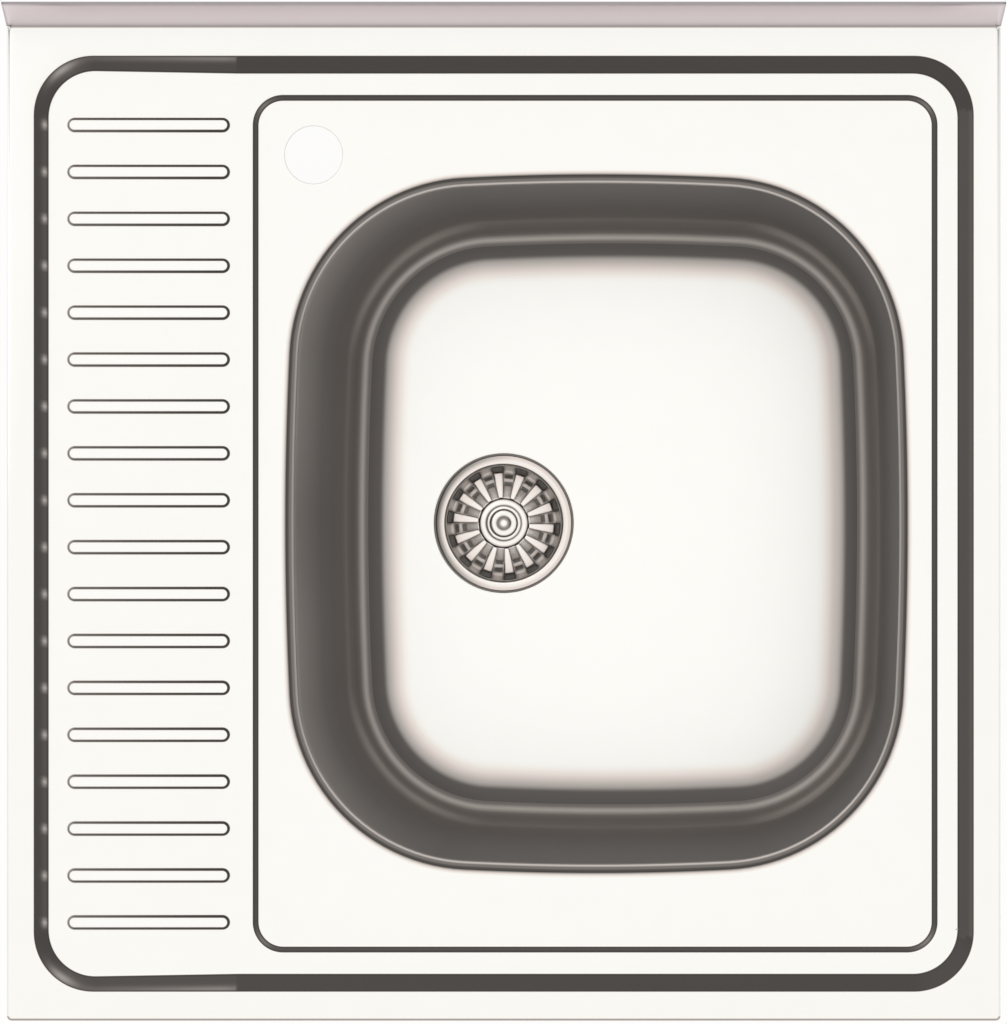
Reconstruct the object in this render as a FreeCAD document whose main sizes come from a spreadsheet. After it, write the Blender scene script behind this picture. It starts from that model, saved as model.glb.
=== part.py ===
"""Lay-on kitchen sink with drainboard, as a parametric document.

Frame: X to the right, Y towards the wall, Z up, in millimetres. The origin is the
centre of the 600 x 600 outline, in the plane where the sink's lip sits on its cabinet.
"""
import FreeCAD, Part
import math
import os
import re

import Sketcher

# ---------------------------------------------------------------------------
# Driving dimensions (mm, degrees and counts)
# ---------------------------------------------------------------------------
SIZES = {
    # pressed deck
    "deck_width": 600.0,
    "deck_depth": 600.0,
    "deck_height": 28.0,
    "sheet": 0.8,
    "edge_bend": 1.6,
    "lip_width": 14.0,
    "side_border": 16.4,
    "end_border": 17.6,
    "band_corner": 36.0,
    "left_slope": 10.5,
    "right_slope": 9.3,
    "end_slope": 10.3,
    "recess_corner": 27.0,
    "recess_depth": 6.0,
    "drain_rise": 1.1,
    "drain_start": -159.6,
    "zone_left_gap": 11.2,
    "zone_right_gap": 15.4,
    "zone_end_gap": 16.2,
    "zone_corner": 15.0,
    "zone_slope": 3.3,
    "zone_depth": 2.0,
    # drain ribs
    "rib_count": 18,
    "rib_pitch": 28.35,
    "rib_left_gap": 9.4,
    "rib_right_gap": 6.1,
    "rib_width": 8.5,
    "rib_slope": 1.2,
    "rib_height": 1.9,
    # rear upstand
    "upstand_height": 36.5,
    "upstand_tilt": 16.5,
    "hem_depth": 8.0,
    "hem_gap": 1.0,
    # tap hole
    "tap_hole_radius": 17.5,
    "tap_hole_left": 115.0,
    "tap_hole_inset": 32.8,
    # bowl
    "mouth_left": -131.8,
    "mouth_right_gap": 14.9,
    "mouth_half": 211.0,
    "mouth_corner": 111.0,
    "front_bow": 1550.0,
    "side_bow": 2100.0,
    "ledge": 5.0,
    "weld_flange": 8.0,
    "bowl_depth": 160.0,
    "left_draft": 12.0,
    "right_draft": 1.4,
    "front_draft": 6.6,
    "foot_corner": 88.0,
    "foot_round": 26.0,
    # waste seat in the bowl floor
    "seat_radius": 44.0,
    "seat_drop": 2.0,
    # strainer cup
    "flange_radius": 43.0,
    "throat_radius": 36.9,
    "flange_sheet": 1.0,
    "cup_sheet": 0.8,
    "cup_depth": 26.0,
    "cup_hole_clearance": 0.5,
    "drain_hole_count": 8,
    "drain_hole_radius": 4.6,
    "drain_hole_circle": 17.0,
    "seal_thickness": 0.8,
    "seal_width": 4.0,
    "gasket_thickness": 3.0,
    "gasket_width": 9.0,
    # waste body
    "body_wall": 2.6,
    "body_clearance": 0.8,
    "body_rim_radius": 50.0,
    "body_rim_thickness": 4.0,
    "chamber_drop": 3.0,
    "funnel_height": 17.0,
    "tail_radius": 23.9,
    "tail_bore": 19.5,
    "tail_length": 24.0,
    "hub_radius": 9.5,
    "hub_length": 24.0,
    "hub_arm": 3.0,
    "hub_arm_count": 3,
    "insert_radius": 7.0,
    "insert_length": 14.0,
    # clamp screw
    "screw_radius": 5.0,
    "screw_length": 20.0,
    "screw_head_radius": 8.0,
    "screw_head_height": 6.0,
    "socket_depth": 9.0,
    # basket
    "basket_gap": 0.7,
    "basket_sheet": 0.8,
    "basket_rim_drop": 2.0,
    "blade_count": 14,
    "blade_inner": 15.0,
    "blade_outer": 32.4,
    "blade_inner_width": 2.6,
    "blade_outer_width": 5.6,
    "blade_level": 11.0,
    "hub_plate_radius": 16.4,
    "slope_foot_radius": 23.5,
    "window_inner": 32.8,
    "window_outer": 35.6,
    "valley_outer": 33.6,
    "slot_inner": 24.5,
    "slot_outer": 32.0,
    "slot_width": 3.2,
    "window_width": 6.2,
    "basket_turn": -6.45,
    # knob, stem and stopper
    "knob_radius": 15.9,
    "knob_height": 4.2,
    "knob_ring_radius": 11.4,
    "knob_step_radius": 8.6,
    "knob_button_radius": 4.2,
    "stem_radius": 3.0,
    "stem_fit": 0.08,
    "stem_reach": 8.4,
    "collar_radius": 13.0,
    "collar_thickness": 1.5,
    "stopper_radius": 27.0,
    "stopper_thickness": 3.0,
    "stopper_neck": 14.0,
    "clip_width": 1.0,
    "clip_depth": 0.5,
    "running_gap": 0.3,
    "thread_gap": 0.05,
    # rear rail
    "rail_width": 13.5,
    # stiffener and damping pads
    "stiffener_width": 44.0,
    "stiffener_height": 14.0,
    "stiffener_end_gap": 17.1,
    "pad_thickness": 2.0,
    "drain_pad_gap": 7.4,
    "drain_pad_end_gap": 72.0,
    "bowl_pad_gap": 5.0,
    "bowl_pad_corner": 58.0,
    "bowl_pad_hole": 56.0,
    # cabinet brackets
    "bracket_sheet": 1.5,
    "bracket_width": 32.0,
    "bracket_drop": 40.0,
    "bracket_inset": 85.0,
    "slot_length": 20.0,
    "slot_height": 5.0,
    "slot_lean": 35.0,
    "slot_level": 24.0,
    "wood_screw_radius": 2.1,
    "wood_screw_length": 15.0,
    "wood_screw_head_radius": 4.2,
    "wood_screw_head_height": 2.4,
    # earth tag
    "tag_width": 14.0,
    "tag_sheet": 1.2,
    "tag_reach": 18.0,
    "tag_height": 14.0,
    "tag_level": 9.0,
    "tag_left": 60.0,
    "earth_screw_radius": 2.5,
    "earth_screw_length": 9.0,
    "earth_head_radius": 4.6,
    "earth_head_height": 3.0,
    "earth_nut_flats": 8.0,
    "earth_nut_height": 3.2,
}

# Levels and places that follow from the driving dimensions
DERIVED = {
    "half_width": "deck_width / 2",
    "half_depth": "deck_depth / 2",
    "floor_level": "deck_height - bowl_depth",
    "work_level": "deck_height - recess_depth",
    "zone_level": "work_level - zone_depth",
    "bowl_top": "zone_level - sheet",
    "wall_height": "bowl_top - floor_level",
    "band_half_width": "half_width - side_border",
    "band_half_depth": "half_depth - end_border",
    "recess_left": "left_slope - band_half_width",
    "recess_right": "band_half_width - right_slope",
    "recess_half": "band_half_depth - end_slope",
    "drain_span": "drain_start - recess_left",
    "drain_slope": "drain_rise / drain_span",
    "zone_left": "drain_start + zone_left_gap",
    "zone_right": "recess_right - zone_right_gap",
    "zone_half": "recess_half - zone_end_gap",
    "rib_left": "recess_left + rib_left_gap",
    "rib_right": "drain_start - rib_right_gap",
    "tap_hole_back": "zone_half - tap_hole_inset",
    "mouth_right": "zone_right - mouth_right_gap",
    "foot_left": "mouth_left + ledge + wall_height * tan(left_draft * 1 deg)",
    "foot_right": "mouth_right - ledge - wall_height * tan(right_draft * 1 deg)",
    "foot_half": "mouth_half - ledge - wall_height * tan(front_draft * 1 deg)",
    "seat_level": "floor_level - seat_drop",
    "floor_hole": "throat_radius + cup_sheet + cup_hole_clearance",
    "flange_under": "seat_level + seal_thickness",
    "flange_top": "flange_under + flange_sheet",
    "cup_floor": "flange_top - cup_depth",
    "cup_under": "cup_floor - cup_sheet",
    "seat_under": "seat_level - sheet",
    "gasket_under": "seat_under - gasket_thickness",
    "chamber_radius": "throat_radius + cup_sheet + body_clearance",
    "chamber_floor": "cup_under - chamber_drop",
    "tail_top": "chamber_floor - funnel_height",
    "tail_end": "tail_top - tail_length",
    "hub_top": "cup_under - running_gap",
    "screw_head_top": "cup_floor + screw_head_height",
    "socket_radius": "stem_radius + stem_fit",
    "stopper_under": "cup_floor + running_gap",
    "stopper_top": "stopper_under + stopper_thickness",
    "collar_under": "screw_head_top + running_gap",
    "collar_top": "collar_under + collar_thickness",
    "valley_under": "stopper_top + running_gap",
    "valley_top": "valley_under + basket_sheet",
    "basket_radius": "throat_radius - basket_gap",
    "basket_rim": "flange_top - basket_rim_drop",
    "blade_top": "valley_top + blade_level",
    "blade_under": "blade_top - basket_sheet",
    "rail_half": "half_width - lip_width - running_gap",
    "lip_edge": "half_width - lip_width",
    "bracket_face": "lip_edge - running_gap",
    "bracket_back": "half_depth - bracket_inset",
    "stiffener_middle": "(drain_start + recess_left) / 2",
    "drain_pad_width": "(drain_span - stiffener_width) / 2 - 2 * drain_pad_gap",
    "drain_pad_shift": "(drain_span + stiffener_width) / 4",
    "bowl_pad_inset": "foot_round + bowl_pad_gap",
    "tag_back": "half_depth - 2 * sheet",
}

doc = FreeCAD.newDocument("kitchen_sink")
sheet = doc.addObject("Spreadsheet::Sheet", "sizes")
for row, (alias, number) in enumerate(SIZES.items(), start=1):
    sheet.set(f"A{row}", alias)
    sheet.set(f"B{row}", str(number))
    sheet.setAlias(f"B{row}", alias)
doc.recompute()


# ---------------------------------------------------------------------------
# Expressions
# ---------------------------------------------------------------------------
def expand(text, prefix=""):
    """Write derived names out in full, and put the prefix before each driving name."""
    def one(match):
        word = match.group(0)
        if word in DERIVED:
            return "(" + expand(DERIVED[word], prefix) + ")"
        if word in SIZES:
            return prefix + word
        return word
    return re.sub(r"[a-z_]+", one, str(text))


def bind(target, path, text):
    """Bind a property of the target to an expression on the sheet."""
    target.setExpression(path, expand(text, "sizes."))


def value(text):
    """The number that an expression has now."""
    result = sheet.evalExpression(expand(text))
    return float(getattr(result, "Value", result))


# ---------------------------------------------------------------------------
# Sketches
# ---------------------------------------------------------------------------
def new_body(name):
    body = doc.addObject("PartDesign::Body", name)
    body.Label = name
    return body


def origin_feature(body, role):
    return next(item for item in body.Origin.OriginFeatures if item.Role == role)


def new_sketch(body, name, plane="XY_Plane", level=None):
    """An empty sketch on an origin plane of the body, moved along its normal to a level."""
    sketch = body.newObject("Sketcher::SketchObject", name)
    sketch.AttachmentSupport = [(origin_feature(body, plane), "")]
    sketch.MapMode = "FlatFace"
    if level is not None:
        bind(sketch, "AttachmentOffset.Base.z", level)
    return sketch


def pin_point(sketch, geometry, vertex, place):
    """Hold one point of the sketch at a pair of expressions."""
    for kind, text in zip(("DistanceX", "DistanceY"), place):
        index = sketch.addConstraint(
            Sketcher.Constraint(kind, -1, 1, geometry, vertex, value(text)))
        bind(sketch, f"Constraints[{index}]", text)


def set_radius(sketch, geometry, text):
    index = sketch.addConstraint(Sketcher.Constraint("Radius", geometry, value(text)))
    bind(sketch, f"Constraints[{index}]", text)


def vector(x, y):
    return FreeCAD.Vector(x, y, 0)


def draw_polygon(sketch, places):
    """A closed outline of straight lines through pairs of expressions."""
    spots = [vector(value(x), value(y)) for x, y in places]
    following = spots[1:] + spots[:1]
    first = sketch.GeometryCount
    for start, end in zip(spots, following):
        sketch.addGeometry(Part.LineSegment(start, end), False)
    count = len(spots)
    for index in range(count):
        after = (index + 1) % count
        sketch.addConstraint(
            Sketcher.Constraint("Coincident", first + index, 2, first + after, 1))
        pin_point(sketch, first + index, 1, places[index])


def draw_circle(sketch, place, radius):
    centre = vector(value(place[0]), value(place[1]))
    index = sketch.addGeometry(
        Part.Circle(centre, FreeCAD.Vector(0, 0, 1), value(radius)), False)
    pin_point(sketch, index, 3, place)
    set_radius(sketch, index, radius)


def draw_arc(sketch, centre, radius, start, end):
    """A counterclockwise arc between two angles, in radians."""
    circle = Part.Circle(centre, FreeCAD.Vector(0, 0, 1), radius)
    return sketch.addGeometry(Part.ArcOfCircle(circle, start, end), False)


def draw_belt(sketch, centres, radius):
    """A belt round circles of one radius, whose centres are given counterclockwise."""
    spots = [vector(value(x), value(y)) for x, y in centres]
    size = value(radius)
    count = len(spots)
    headings = []
    for index in range(count):
        run = spots[(index + 1) % count] - spots[index]
        headings.append(math.atan2(run.y, run.x))
    arcs = []
    lines = []
    for index, spot in enumerate(spots):
        start = headings[index - 1] - math.pi / 2
        end = headings[index] - math.pi / 2
        if end < start:
            end += 2 * math.pi
        arcs.append(draw_arc(sketch, spot, size, start, end))
        side = vector(math.cos(end), math.sin(end)) * size
        target = spots[(index + 1) % count]
        lines.append(sketch.addGeometry(Part.LineSegment(spot + side, target + side), False))
    for index in range(count):
        after = arcs[(index + 1) % count]
        sketch.addConstraint(Sketcher.Constraint("Tangent", arcs[index], 2, lines[index], 1))
        sketch.addConstraint(Sketcher.Constraint("Tangent", lines[index], 2, after, 1))
        pin_point(sketch, arcs[index], 3, centres[index])
        set_radius(sketch, arcs[index], radius)


def draw_rounded_rectangle(sketch, left, right, front, back, corner, grow="0"):
    """A rounded rectangle between four sides, widened by the growth."""
    near_left = f"{left} + {corner}"
    near_right = f"{right} - {corner}"
    near_front = f"{front} + {corner}"
    near_back = f"{back} - {corner}"
    centres = [(near_left, near_front), (near_right, near_front),
               (near_right, near_back), (near_left, near_back)]
    draw_belt(sketch, centres, f"{corner} + {grow}")


def draw_stadium(sketch, left, right, width, grow="0"):
    """A long round-ended outline on the X axis, widened by the growth."""
    centres = [(f"{left} + {width} / 2", "0"), (f"{right} - {width} / 2", "0")]
    draw_belt(sketch, centres, f"{width} / 2 + {grow}")


def draw_bowed_rectangle(sketch, left, right, half, corner, grow="0"):
    """A rectangle with bowed sides and round corners, symmetric front to back.

    Each side is a long arc, tangent to the corner arcs at its ends. The growth widens
    every arc about its own centre, so that two such outlines run parallel.
    """
    middle = f"(({left}) + ({right})) / 2"
    reach = f"(({right}) - ({left})) / 2"
    side_back = f"{half} - front_bow"
    side_right = f"{middle} + {reach} - side_bow"
    side_left = f"{middle} - {reach} + side_bow"
    side_centres = [(side_right, "0"), (middle, side_back),
                    (side_left, "0"), (middle, f"-({side_back})")]
    side_radii = ["side_bow", "front_bow", "side_bow", "front_bow"]
    spots = [vector(value(x), value(y)) for x, y in side_centres]
    reaches = [value(radius) - value(corner) for radius in side_radii]
    growth = value(grow)
    # Corner centres lie where circles about two neighbouring side centres meet.
    corner_spots = []
    for index in range(4):
        first, second = spots[index], spots[(index + 1) % 4]
        span = second - first
        along = (reaches[index] ** 2 - reaches[(index + 1) % 4] ** 2 + span.Length ** 2)
        along /= 2 * span.Length
        across = math.sqrt(reaches[index] ** 2 - along ** 2)
        unit = span / span.Length
        sideways = vector(-unit.y, unit.x)
        corner_spots.append(first + unit * along + sideways * across)
    sides = []
    corners = []
    for index in range(4):
        before = corner_spots[index - 1] - spots[index]
        after = corner_spots[index] - spots[index]
        start = math.atan2(before.y, before.x)
        end = math.atan2(after.y, after.x)
        if end < start:
            end += 2 * math.pi
        radius = value(side_radii[index]) + growth
        sides.append(draw_arc(sketch, spots[index], radius, start, end))
        onward = corner_spots[index] - spots[(index + 1) % 4]
        turn = math.atan2(onward.y, onward.x)
        if turn < end:
            turn += 2 * math.pi
        radius = value(corner) + growth
        corners.append(draw_arc(sketch, corner_spots[index], radius, end, turn))
    for index in range(4):
        after = sides[(index + 1) % 4]
        sketch.addConstraint(Sketcher.Constraint("Tangent", sides[index], 2, corners[index], 1))
        sketch.addConstraint(Sketcher.Constraint("Tangent", corners[index], 2, after, 1))
        pin_point(sketch, sides[index], 3, side_centres[index])
        set_radius(sketch, sides[index], f"{side_radii[index]} + {grow}")
        set_radius(sketch, corners[index], f"{corner} + {grow}")


# ---------------------------------------------------------------------------
# Features
# ---------------------------------------------------------------------------
def add_pad(body, sketch, length, name, reverse=False, symmetric=False):
    pad = body.newObject("PartDesign::Pad", name)
    pad.Profile = sketch
    bind(pad, "Length", length)
    pad.Reversed = reverse
    pad.Midplane = symmetric
    doc.recompute()
    return pad


def add_pocket(body, sketch, length, name, reverse=False, symmetric=False):
    """Cut the sketch through the body, and make sure that it takes something away."""
    before = body.Shape.Volume
    pocket = body.newObject("PartDesign::Pocket", name)
    pocket.Profile = sketch
    bind(pocket, "Length", length)
    pocket.Reversed = reverse
    pocket.Midplane = symmetric
    doc.recompute()
    if body.Shape.Volume >= before:
        raise RuntimeError(f"{body.Label}: {name} cuts nothing")
    return pocket


def add_revolution(body, sketch, name="turned_profile"):
    turned = body.newObject("PartDesign::Revolution", name)
    turned.Profile = sketch
    turned.ReferenceAxis = (sketch, ["V_Axis"])
    turned.Angle = 360.0
    doc.recompute()
    return turned


def add_loft(body, first, second, name, cut=False):
    kind = "PartDesign::SubtractiveLoft" if cut else "PartDesign::AdditiveLoft"
    loft = body.newObject(kind, name)
    loft.Profile = first
    loft.Sections = [second]
    loft.Ruled = True
    doc.recompute()
    return loft


def add_polar_copies(body, feature, count, name):
    pattern = body.newObject("PartDesign::PolarPattern", name)
    pattern.Originals = [feature]
    pattern.Axis = (origin_feature(body, "Z_Axis"), [""])
    pattern.Angle = 360.0
    bind(pattern, "Occurrences", count)
    body.Tip = pattern
    doc.recompute()
    return pattern


def add_fillet(body, feature, radius, chosen, name):
    """Round the edges of the feature for which chosen(edge) holds."""
    names = [f"Edge{index}" for index, edge in enumerate(feature.Shape.Edges, start=1)
             if chosen(edge)]
    if not names:
        raise RuntimeError(f"{body.Label}: {name} finds no edge")
    fillet = body.newObject("PartDesign::Fillet", name)
    fillet.Base = (feature, names)
    bind(fillet, "Radius", radius)
    doc.recompute()
    return fillet


def at_level(edge, level):
    """Whether an edge lies flat at a level."""
    box = edge.BoundBox
    return abs(box.ZMin - level) < 0.01 and abs(box.ZMax - level) < 0.01


def along_x(edge):
    box = edge.BoundBox
    return box.YLength < 0.01 and box.ZLength < 0.01


def turned_body(name, places):
    """A body turned about Z from a closed outline of (radius, level) pairs."""
    body = new_body(name)
    sketch = new_sketch(body, f"{name}_profile", "XZ_Plane")
    draw_polygon(sketch, places)
    add_revolution(body, sketch)
    return body


def cut_from(name, base, tool):
    cut = doc.addObject("Part::Cut", name)
    cut.Base = base
    cut.Tool = tool
    doc.recompute()
    return cut


# ---------------------------------------------------------------------------
# Pressed deck
# ---------------------------------------------------------------------------
def pressed_form(name, drop, side_inset, rib_inset):
    """The deck's top surface as a block, lowered by a drop.

    The deck is the block at no drop less the block that lies one sheet lower. The
    lower block is open to the rear, where the sheet turns up instead of down.
    """
    body = new_body(name)
    outline = new_sketch(body, f"{name}_outline")
    left = f"{side_inset} - half_width"
    right = f"half_width - {side_inset}"
    front = f"{side_inset} - half_depth"
    back = f"half_depth + {side_inset}"
    draw_polygon(outline, [(left, front), (right, front), (right, back), (left, back)])
    block = add_pad(body, outline, f"deck_height - {drop}", f"{name}_block")
    top = value(f"deck_height - {drop}")
    rear = value(back)
    add_fillet(
        body, block, f"edge_bend - {drop}",
        lambda edge: at_level(edge, top) and abs(edge.BoundBox.YMin - rear) > 1.0,
        f"{name}_bend")

    upper = new_sketch(body, f"{name}_recess_top", level=f"deck_height - {drop}")
    draw_rounded_rectangle(upper, "-band_half_width", "band_half_width",
                           "-band_half_depth", "band_half_depth", "band_corner")
    lower = new_sketch(body, f"{name}_recess_floor", level=f"work_level - {drop}")
    draw_rounded_rectangle(lower, "recess_left", "recess_right",
                           "-recess_half", "recess_half", "recess_corner")
    add_loft(body, upper, lower, f"{name}_recess", cut=True)

    # The drainboard rises gently towards its outer end, so that it drains to the bowl.
    rise = new_sketch(body, f"{name}_rise_profile", "XZ_Plane")
    floor = f"work_level - {drop}"
    rise_top = f"{floor} + drain_slope * (drain_start + band_half_width)"
    draw_polygon(rise, [("drain_start", floor), ("drain_start", f"{floor} - sheet"),
                        ("-band_half_width", f"{floor} - sheet"),
                        ("-band_half_width", rise_top)])
    add_pad(body, rise, "2 * band_half_depth", f"{name}_rise", symmetric=True)

    zone_edges = ("zone_left", "zone_right", "-zone_half", "zone_half", "zone_corner")
    upper = new_sketch(body, f"{name}_zone_top", level=f"work_level - {drop}")
    draw_rounded_rectangle(upper, *zone_edges, grow="zone_slope")
    lower = new_sketch(body, f"{name}_zone_floor", level=f"zone_level - {drop}")
    draw_rounded_rectangle(lower, *zone_edges)
    add_loft(body, upper, lower, f"{name}_zone", cut=True)

    # Drain ribs: level tops on the rising floor, in a row from front to back.
    first = "-rib_pitch * (rib_count - 1) / 2"
    foot = new_sketch(body, f"{name}_rib_foot", level=f"work_level - {drop} - sheet / 2")
    crest = new_sketch(body, f"{name}_rib_crest", level=f"work_level - {drop} + rib_height")
    for sketch, grow in ((foot, f"-({rib_inset})"), (crest, f"-(rib_slope + {rib_inset})")):
        bind(sketch, "AttachmentOffset.Base.y", first)
        draw_stadium(sketch, "rib_left", "rib_right", "rib_width", grow)
    rib = add_loft(body, foot, crest, f"{name}_rib")
    row = body.newObject("PartDesign::LinearPattern", f"{name}_ribs")
    row.Originals = [rib]
    row.Direction = (origin_feature(body, "Y_Axis"), [""])
    bind(row, "Length", "rib_pitch * (rib_count - 1)")
    bind(row, "Occurrences", "rib_count")
    body.Tip = row
    doc.recompute()
    return body


def build_deck():
    """One sheet: pressed top, front and side skirts with a folded lip, rear upstand."""
    outer = pressed_form("deck_outer", "0", "0", "0")
    mouth = new_sketch(outer, "mouth_outline")
    draw_bowed_rectangle(mouth, "mouth_left", "mouth_right", "mouth_half", "mouth_corner")
    add_pocket(outer, mouth, "deck_height", "mouth", reverse=True)
    tap = new_sketch(outer, "tap_hole_outline")
    draw_circle(tap, ("-tap_hole_left", "tap_hole_back"), "tap_hole_radius")
    add_pocket(outer, tap, "deck_height", "tap_hole", reverse=True)
    core = pressed_form("deck_core", "sheet", "sheet", "rib_slope / 4")
    pressed = cut_from("pressed_deck", outer, core)

    lip = new_body("folded_lip")
    outline = new_sketch(lip, "lip_outline")
    draw_polygon(outline, [
        ("-half_width", "-half_depth"), ("half_width", "-half_depth"),
        ("half_width", "half_depth"), ("lip_edge", "half_depth"),
        ("lip_edge", "lip_width - half_depth"), ("-lip_edge", "lip_width - half_depth"),
        ("-lip_edge", "half_depth"), ("-half_width", "half_depth")])
    add_pad(lip, outline, "sheet", "lip")

    # The upstand leans back and ends in a hem that is folded back down behind it.
    upstand = new_body("rear_upstand")
    profile = new_sketch(upstand, "upstand_profile", "YZ_Plane")
    hem_back = "2 * sheet + hem_gap"
    draw_polygon(profile, [
        ("0", "-sheet"), ("sheet", "-sheet"), ("sheet", "upstand_height - sheet"),
        (f"{hem_back} - sheet", "upstand_height - sheet"),
        (f"{hem_back} - sheet", "upstand_height - hem_depth"),
        (hem_back, "upstand_height - hem_depth"), (hem_back, "upstand_height"),
        ("0", "upstand_height")])
    strip = add_pad(upstand, profile, "deck_width", "upstand_strip", symmetric=True)
    crest = value("upstand_height")
    add_fillet(upstand, strip, "sheet",
               lambda edge: along_x(edge) and at_level(edge, crest), "hem_bend")
    bind(upstand, "Placement.Base.y", "half_depth")
    bind(upstand, "Placement.Base.z", "deck_height")
    upstand.Placement.Rotation = FreeCAD.Rotation(FreeCAD.Vector(-1, 0, 0), 1)
    bind(upstand, "Placement.Rotation.Angle", "upstand_tilt * 1 deg")

    deck = doc.addObject("Part::MultiFuse", "deck_sheet")
    deck.Shapes = [pressed, lip, upstand]
    doc.recompute()
    return deck


# ---------------------------------------------------------------------------
# Bowl
# ---------------------------------------------------------------------------
def bowl_form(name, grow, top, seat_grow):
    """The bowl's cavity as a block, grown outwards by one amount."""
    body = new_body(name)
    mouth = new_sketch(body, f"{name}_mouth", level=top)
    draw_bowed_rectangle(mouth, "mouth_left", "mouth_right", "mouth_half", "mouth_corner",
                         grow=f"{grow} - ledge")
    foot = new_sketch(body, f"{name}_foot", level=f"floor_level - {grow}")
    draw_bowed_rectangle(foot, "foot_left", "foot_right", "foot_half", "foot_corner", grow)
    block = add_loft(body, mouth, foot, f"{name}_block")
    level = value(f"floor_level - {grow}")
    rounded = add_fillet(body, block, f"foot_round + {grow}",
                         lambda edge: at_level(edge, level), f"{name}_foot_round")
    seat = new_sketch(body, f"{name}_seat", level=f"floor_level - {grow}")
    draw_circle(seat, ("0", "0"), f"seat_radius + {seat_grow}")
    add_pad(body, seat, "seat_drop", f"{name}_seat_block", reverse=True)
    return body


def build_bowl():
    """Drawn bowl with a welding flange below the deck's cut-out."""
    outer = bowl_form("bowl_outer", "sheet", "bowl_top", "sheet")
    flange = new_sketch(outer, "weld_flange_outline", level="bowl_top")
    draw_bowed_rectangle(flange, "mouth_left", "mouth_right", "mouth_half", "mouth_corner",
                         grow="weld_flange")
    add_pad(outer, flange, "sheet", "weld_flange", reverse=True)
    inner = bowl_form("bowl_inner", "0", "bowl_top", "0")
    hole = new_sketch(inner, "floor_hole_outline", level="seat_level")
    draw_circle(hole, ("0", "0"), "floor_hole")
    add_pad(inner, hole, "2 * sheet", "floor_hole", reverse=True)
    return cut_from("bowl", outer, inner)


# ---------------------------------------------------------------------------
# Stiffening and damping below the deck
# ---------------------------------------------------------------------------
def build_rear_rail():
    """Folded channel that carries the rear edge between the two side lips."""
    body = new_body("rear_rail")
    profile = new_sketch(body, "rail_profile", "YZ_Plane")
    back = "half_depth - sheet"
    front = f"{back} - rail_width"
    top = "deck_height - sheet"
    draw_polygon(profile, [
        (front, "0"), (back, "0"), (back, top), (front, top), (front, f"{top} - sheet"),
        (f"{back} - sheet", f"{top} - sheet"), (f"{back} - sheet", "sheet"),
        (front, "sheet")])
    add_pad(body, profile, "2 * rail_half", "rail", symmetric=True)
    return body


def place_below_drainboard(body, place):
    """Turn a body so that its flat top lies along the underside of the drainboard."""
    bind(body, "Placement.Base.x", place)
    bind(body, "Placement.Base.z",
         f"work_level - sheet + drain_slope * (drain_start - ({place}))")
    body.Placement.Rotation = FreeCAD.Rotation(FreeCAD.Vector(0, 1, 0), 1)
    bind(body, "Placement.Rotation.Angle", "atan(drain_slope)")


def build_drainboard_stiffener():
    """Hat channel with two feet, welded below the drainboard from front to back."""
    body = new_body("drainboard_stiffener")
    profile = new_sketch(body, "stiffener_profile", "XZ_Plane")
    crown = "stiffener_width / 4"
    foot = "stiffener_width / 2"
    draw_polygon(profile, [
        (f"-{foot}", "-sheet"), (f"-{foot}", "0"), (f"-{crown}", "0"),
        (f"-{crown}", "sheet - stiffener_height"), (crown, "sheet - stiffener_height"),
        (crown, "0"), (foot, "0"), (foot, "-sheet"), (f"{crown} + sheet", "-sheet"),
        (f"{crown} + sheet", "-stiffener_height"), (f"-({crown} + sheet)", "-stiffener_height"),
        (f"-({crown} + sheet)", "-sheet")])
    add_pad(body, profile, "2 * (recess_half - stiffener_end_gap)", "stiffener",
            symmetric=True)
    place_below_drainboard(body, "stiffener_middle")
    return body


def build_drainboard_pad(name, place):
    """Damping strip glued below the drainboard."""
    body = new_body(name)
    outline = new_sketch(body, f"{name}_outline")
    side = "drain_pad_width / 2"
    end = "recess_half - drain_pad_end_gap"
    draw_polygon(outline, [(f"-{side}", f"-({end})"), (side, f"-({end})"), (side, end),
                           (f"-{side}", end)])
    add_pad(body, outline, "pad_thickness", f"{name}_strip", reverse=True)
    place_below_drainboard(body, place)
    return body


def build_bowl_pad():
    """Damping pad glued below the bowl floor, open round the waste."""
    body = new_body("bowl_damping_pad")
    outline = new_sketch(body, "bowl_pad_outline", level="floor_level - sheet")
    draw_rounded_rectangle(outline, "foot_left + bowl_pad_inset", "foot_right - bowl_pad_inset",
                           "bowl_pad_inset - foot_half", "foot_half - bowl_pad_inset",
                           "bowl_pad_corner")
    draw_circle(outline, ("0", "0"), "bowl_pad_hole")
    add_pad(body, outline, "pad_thickness", "bowl_pad", reverse=True)
    return body


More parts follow.
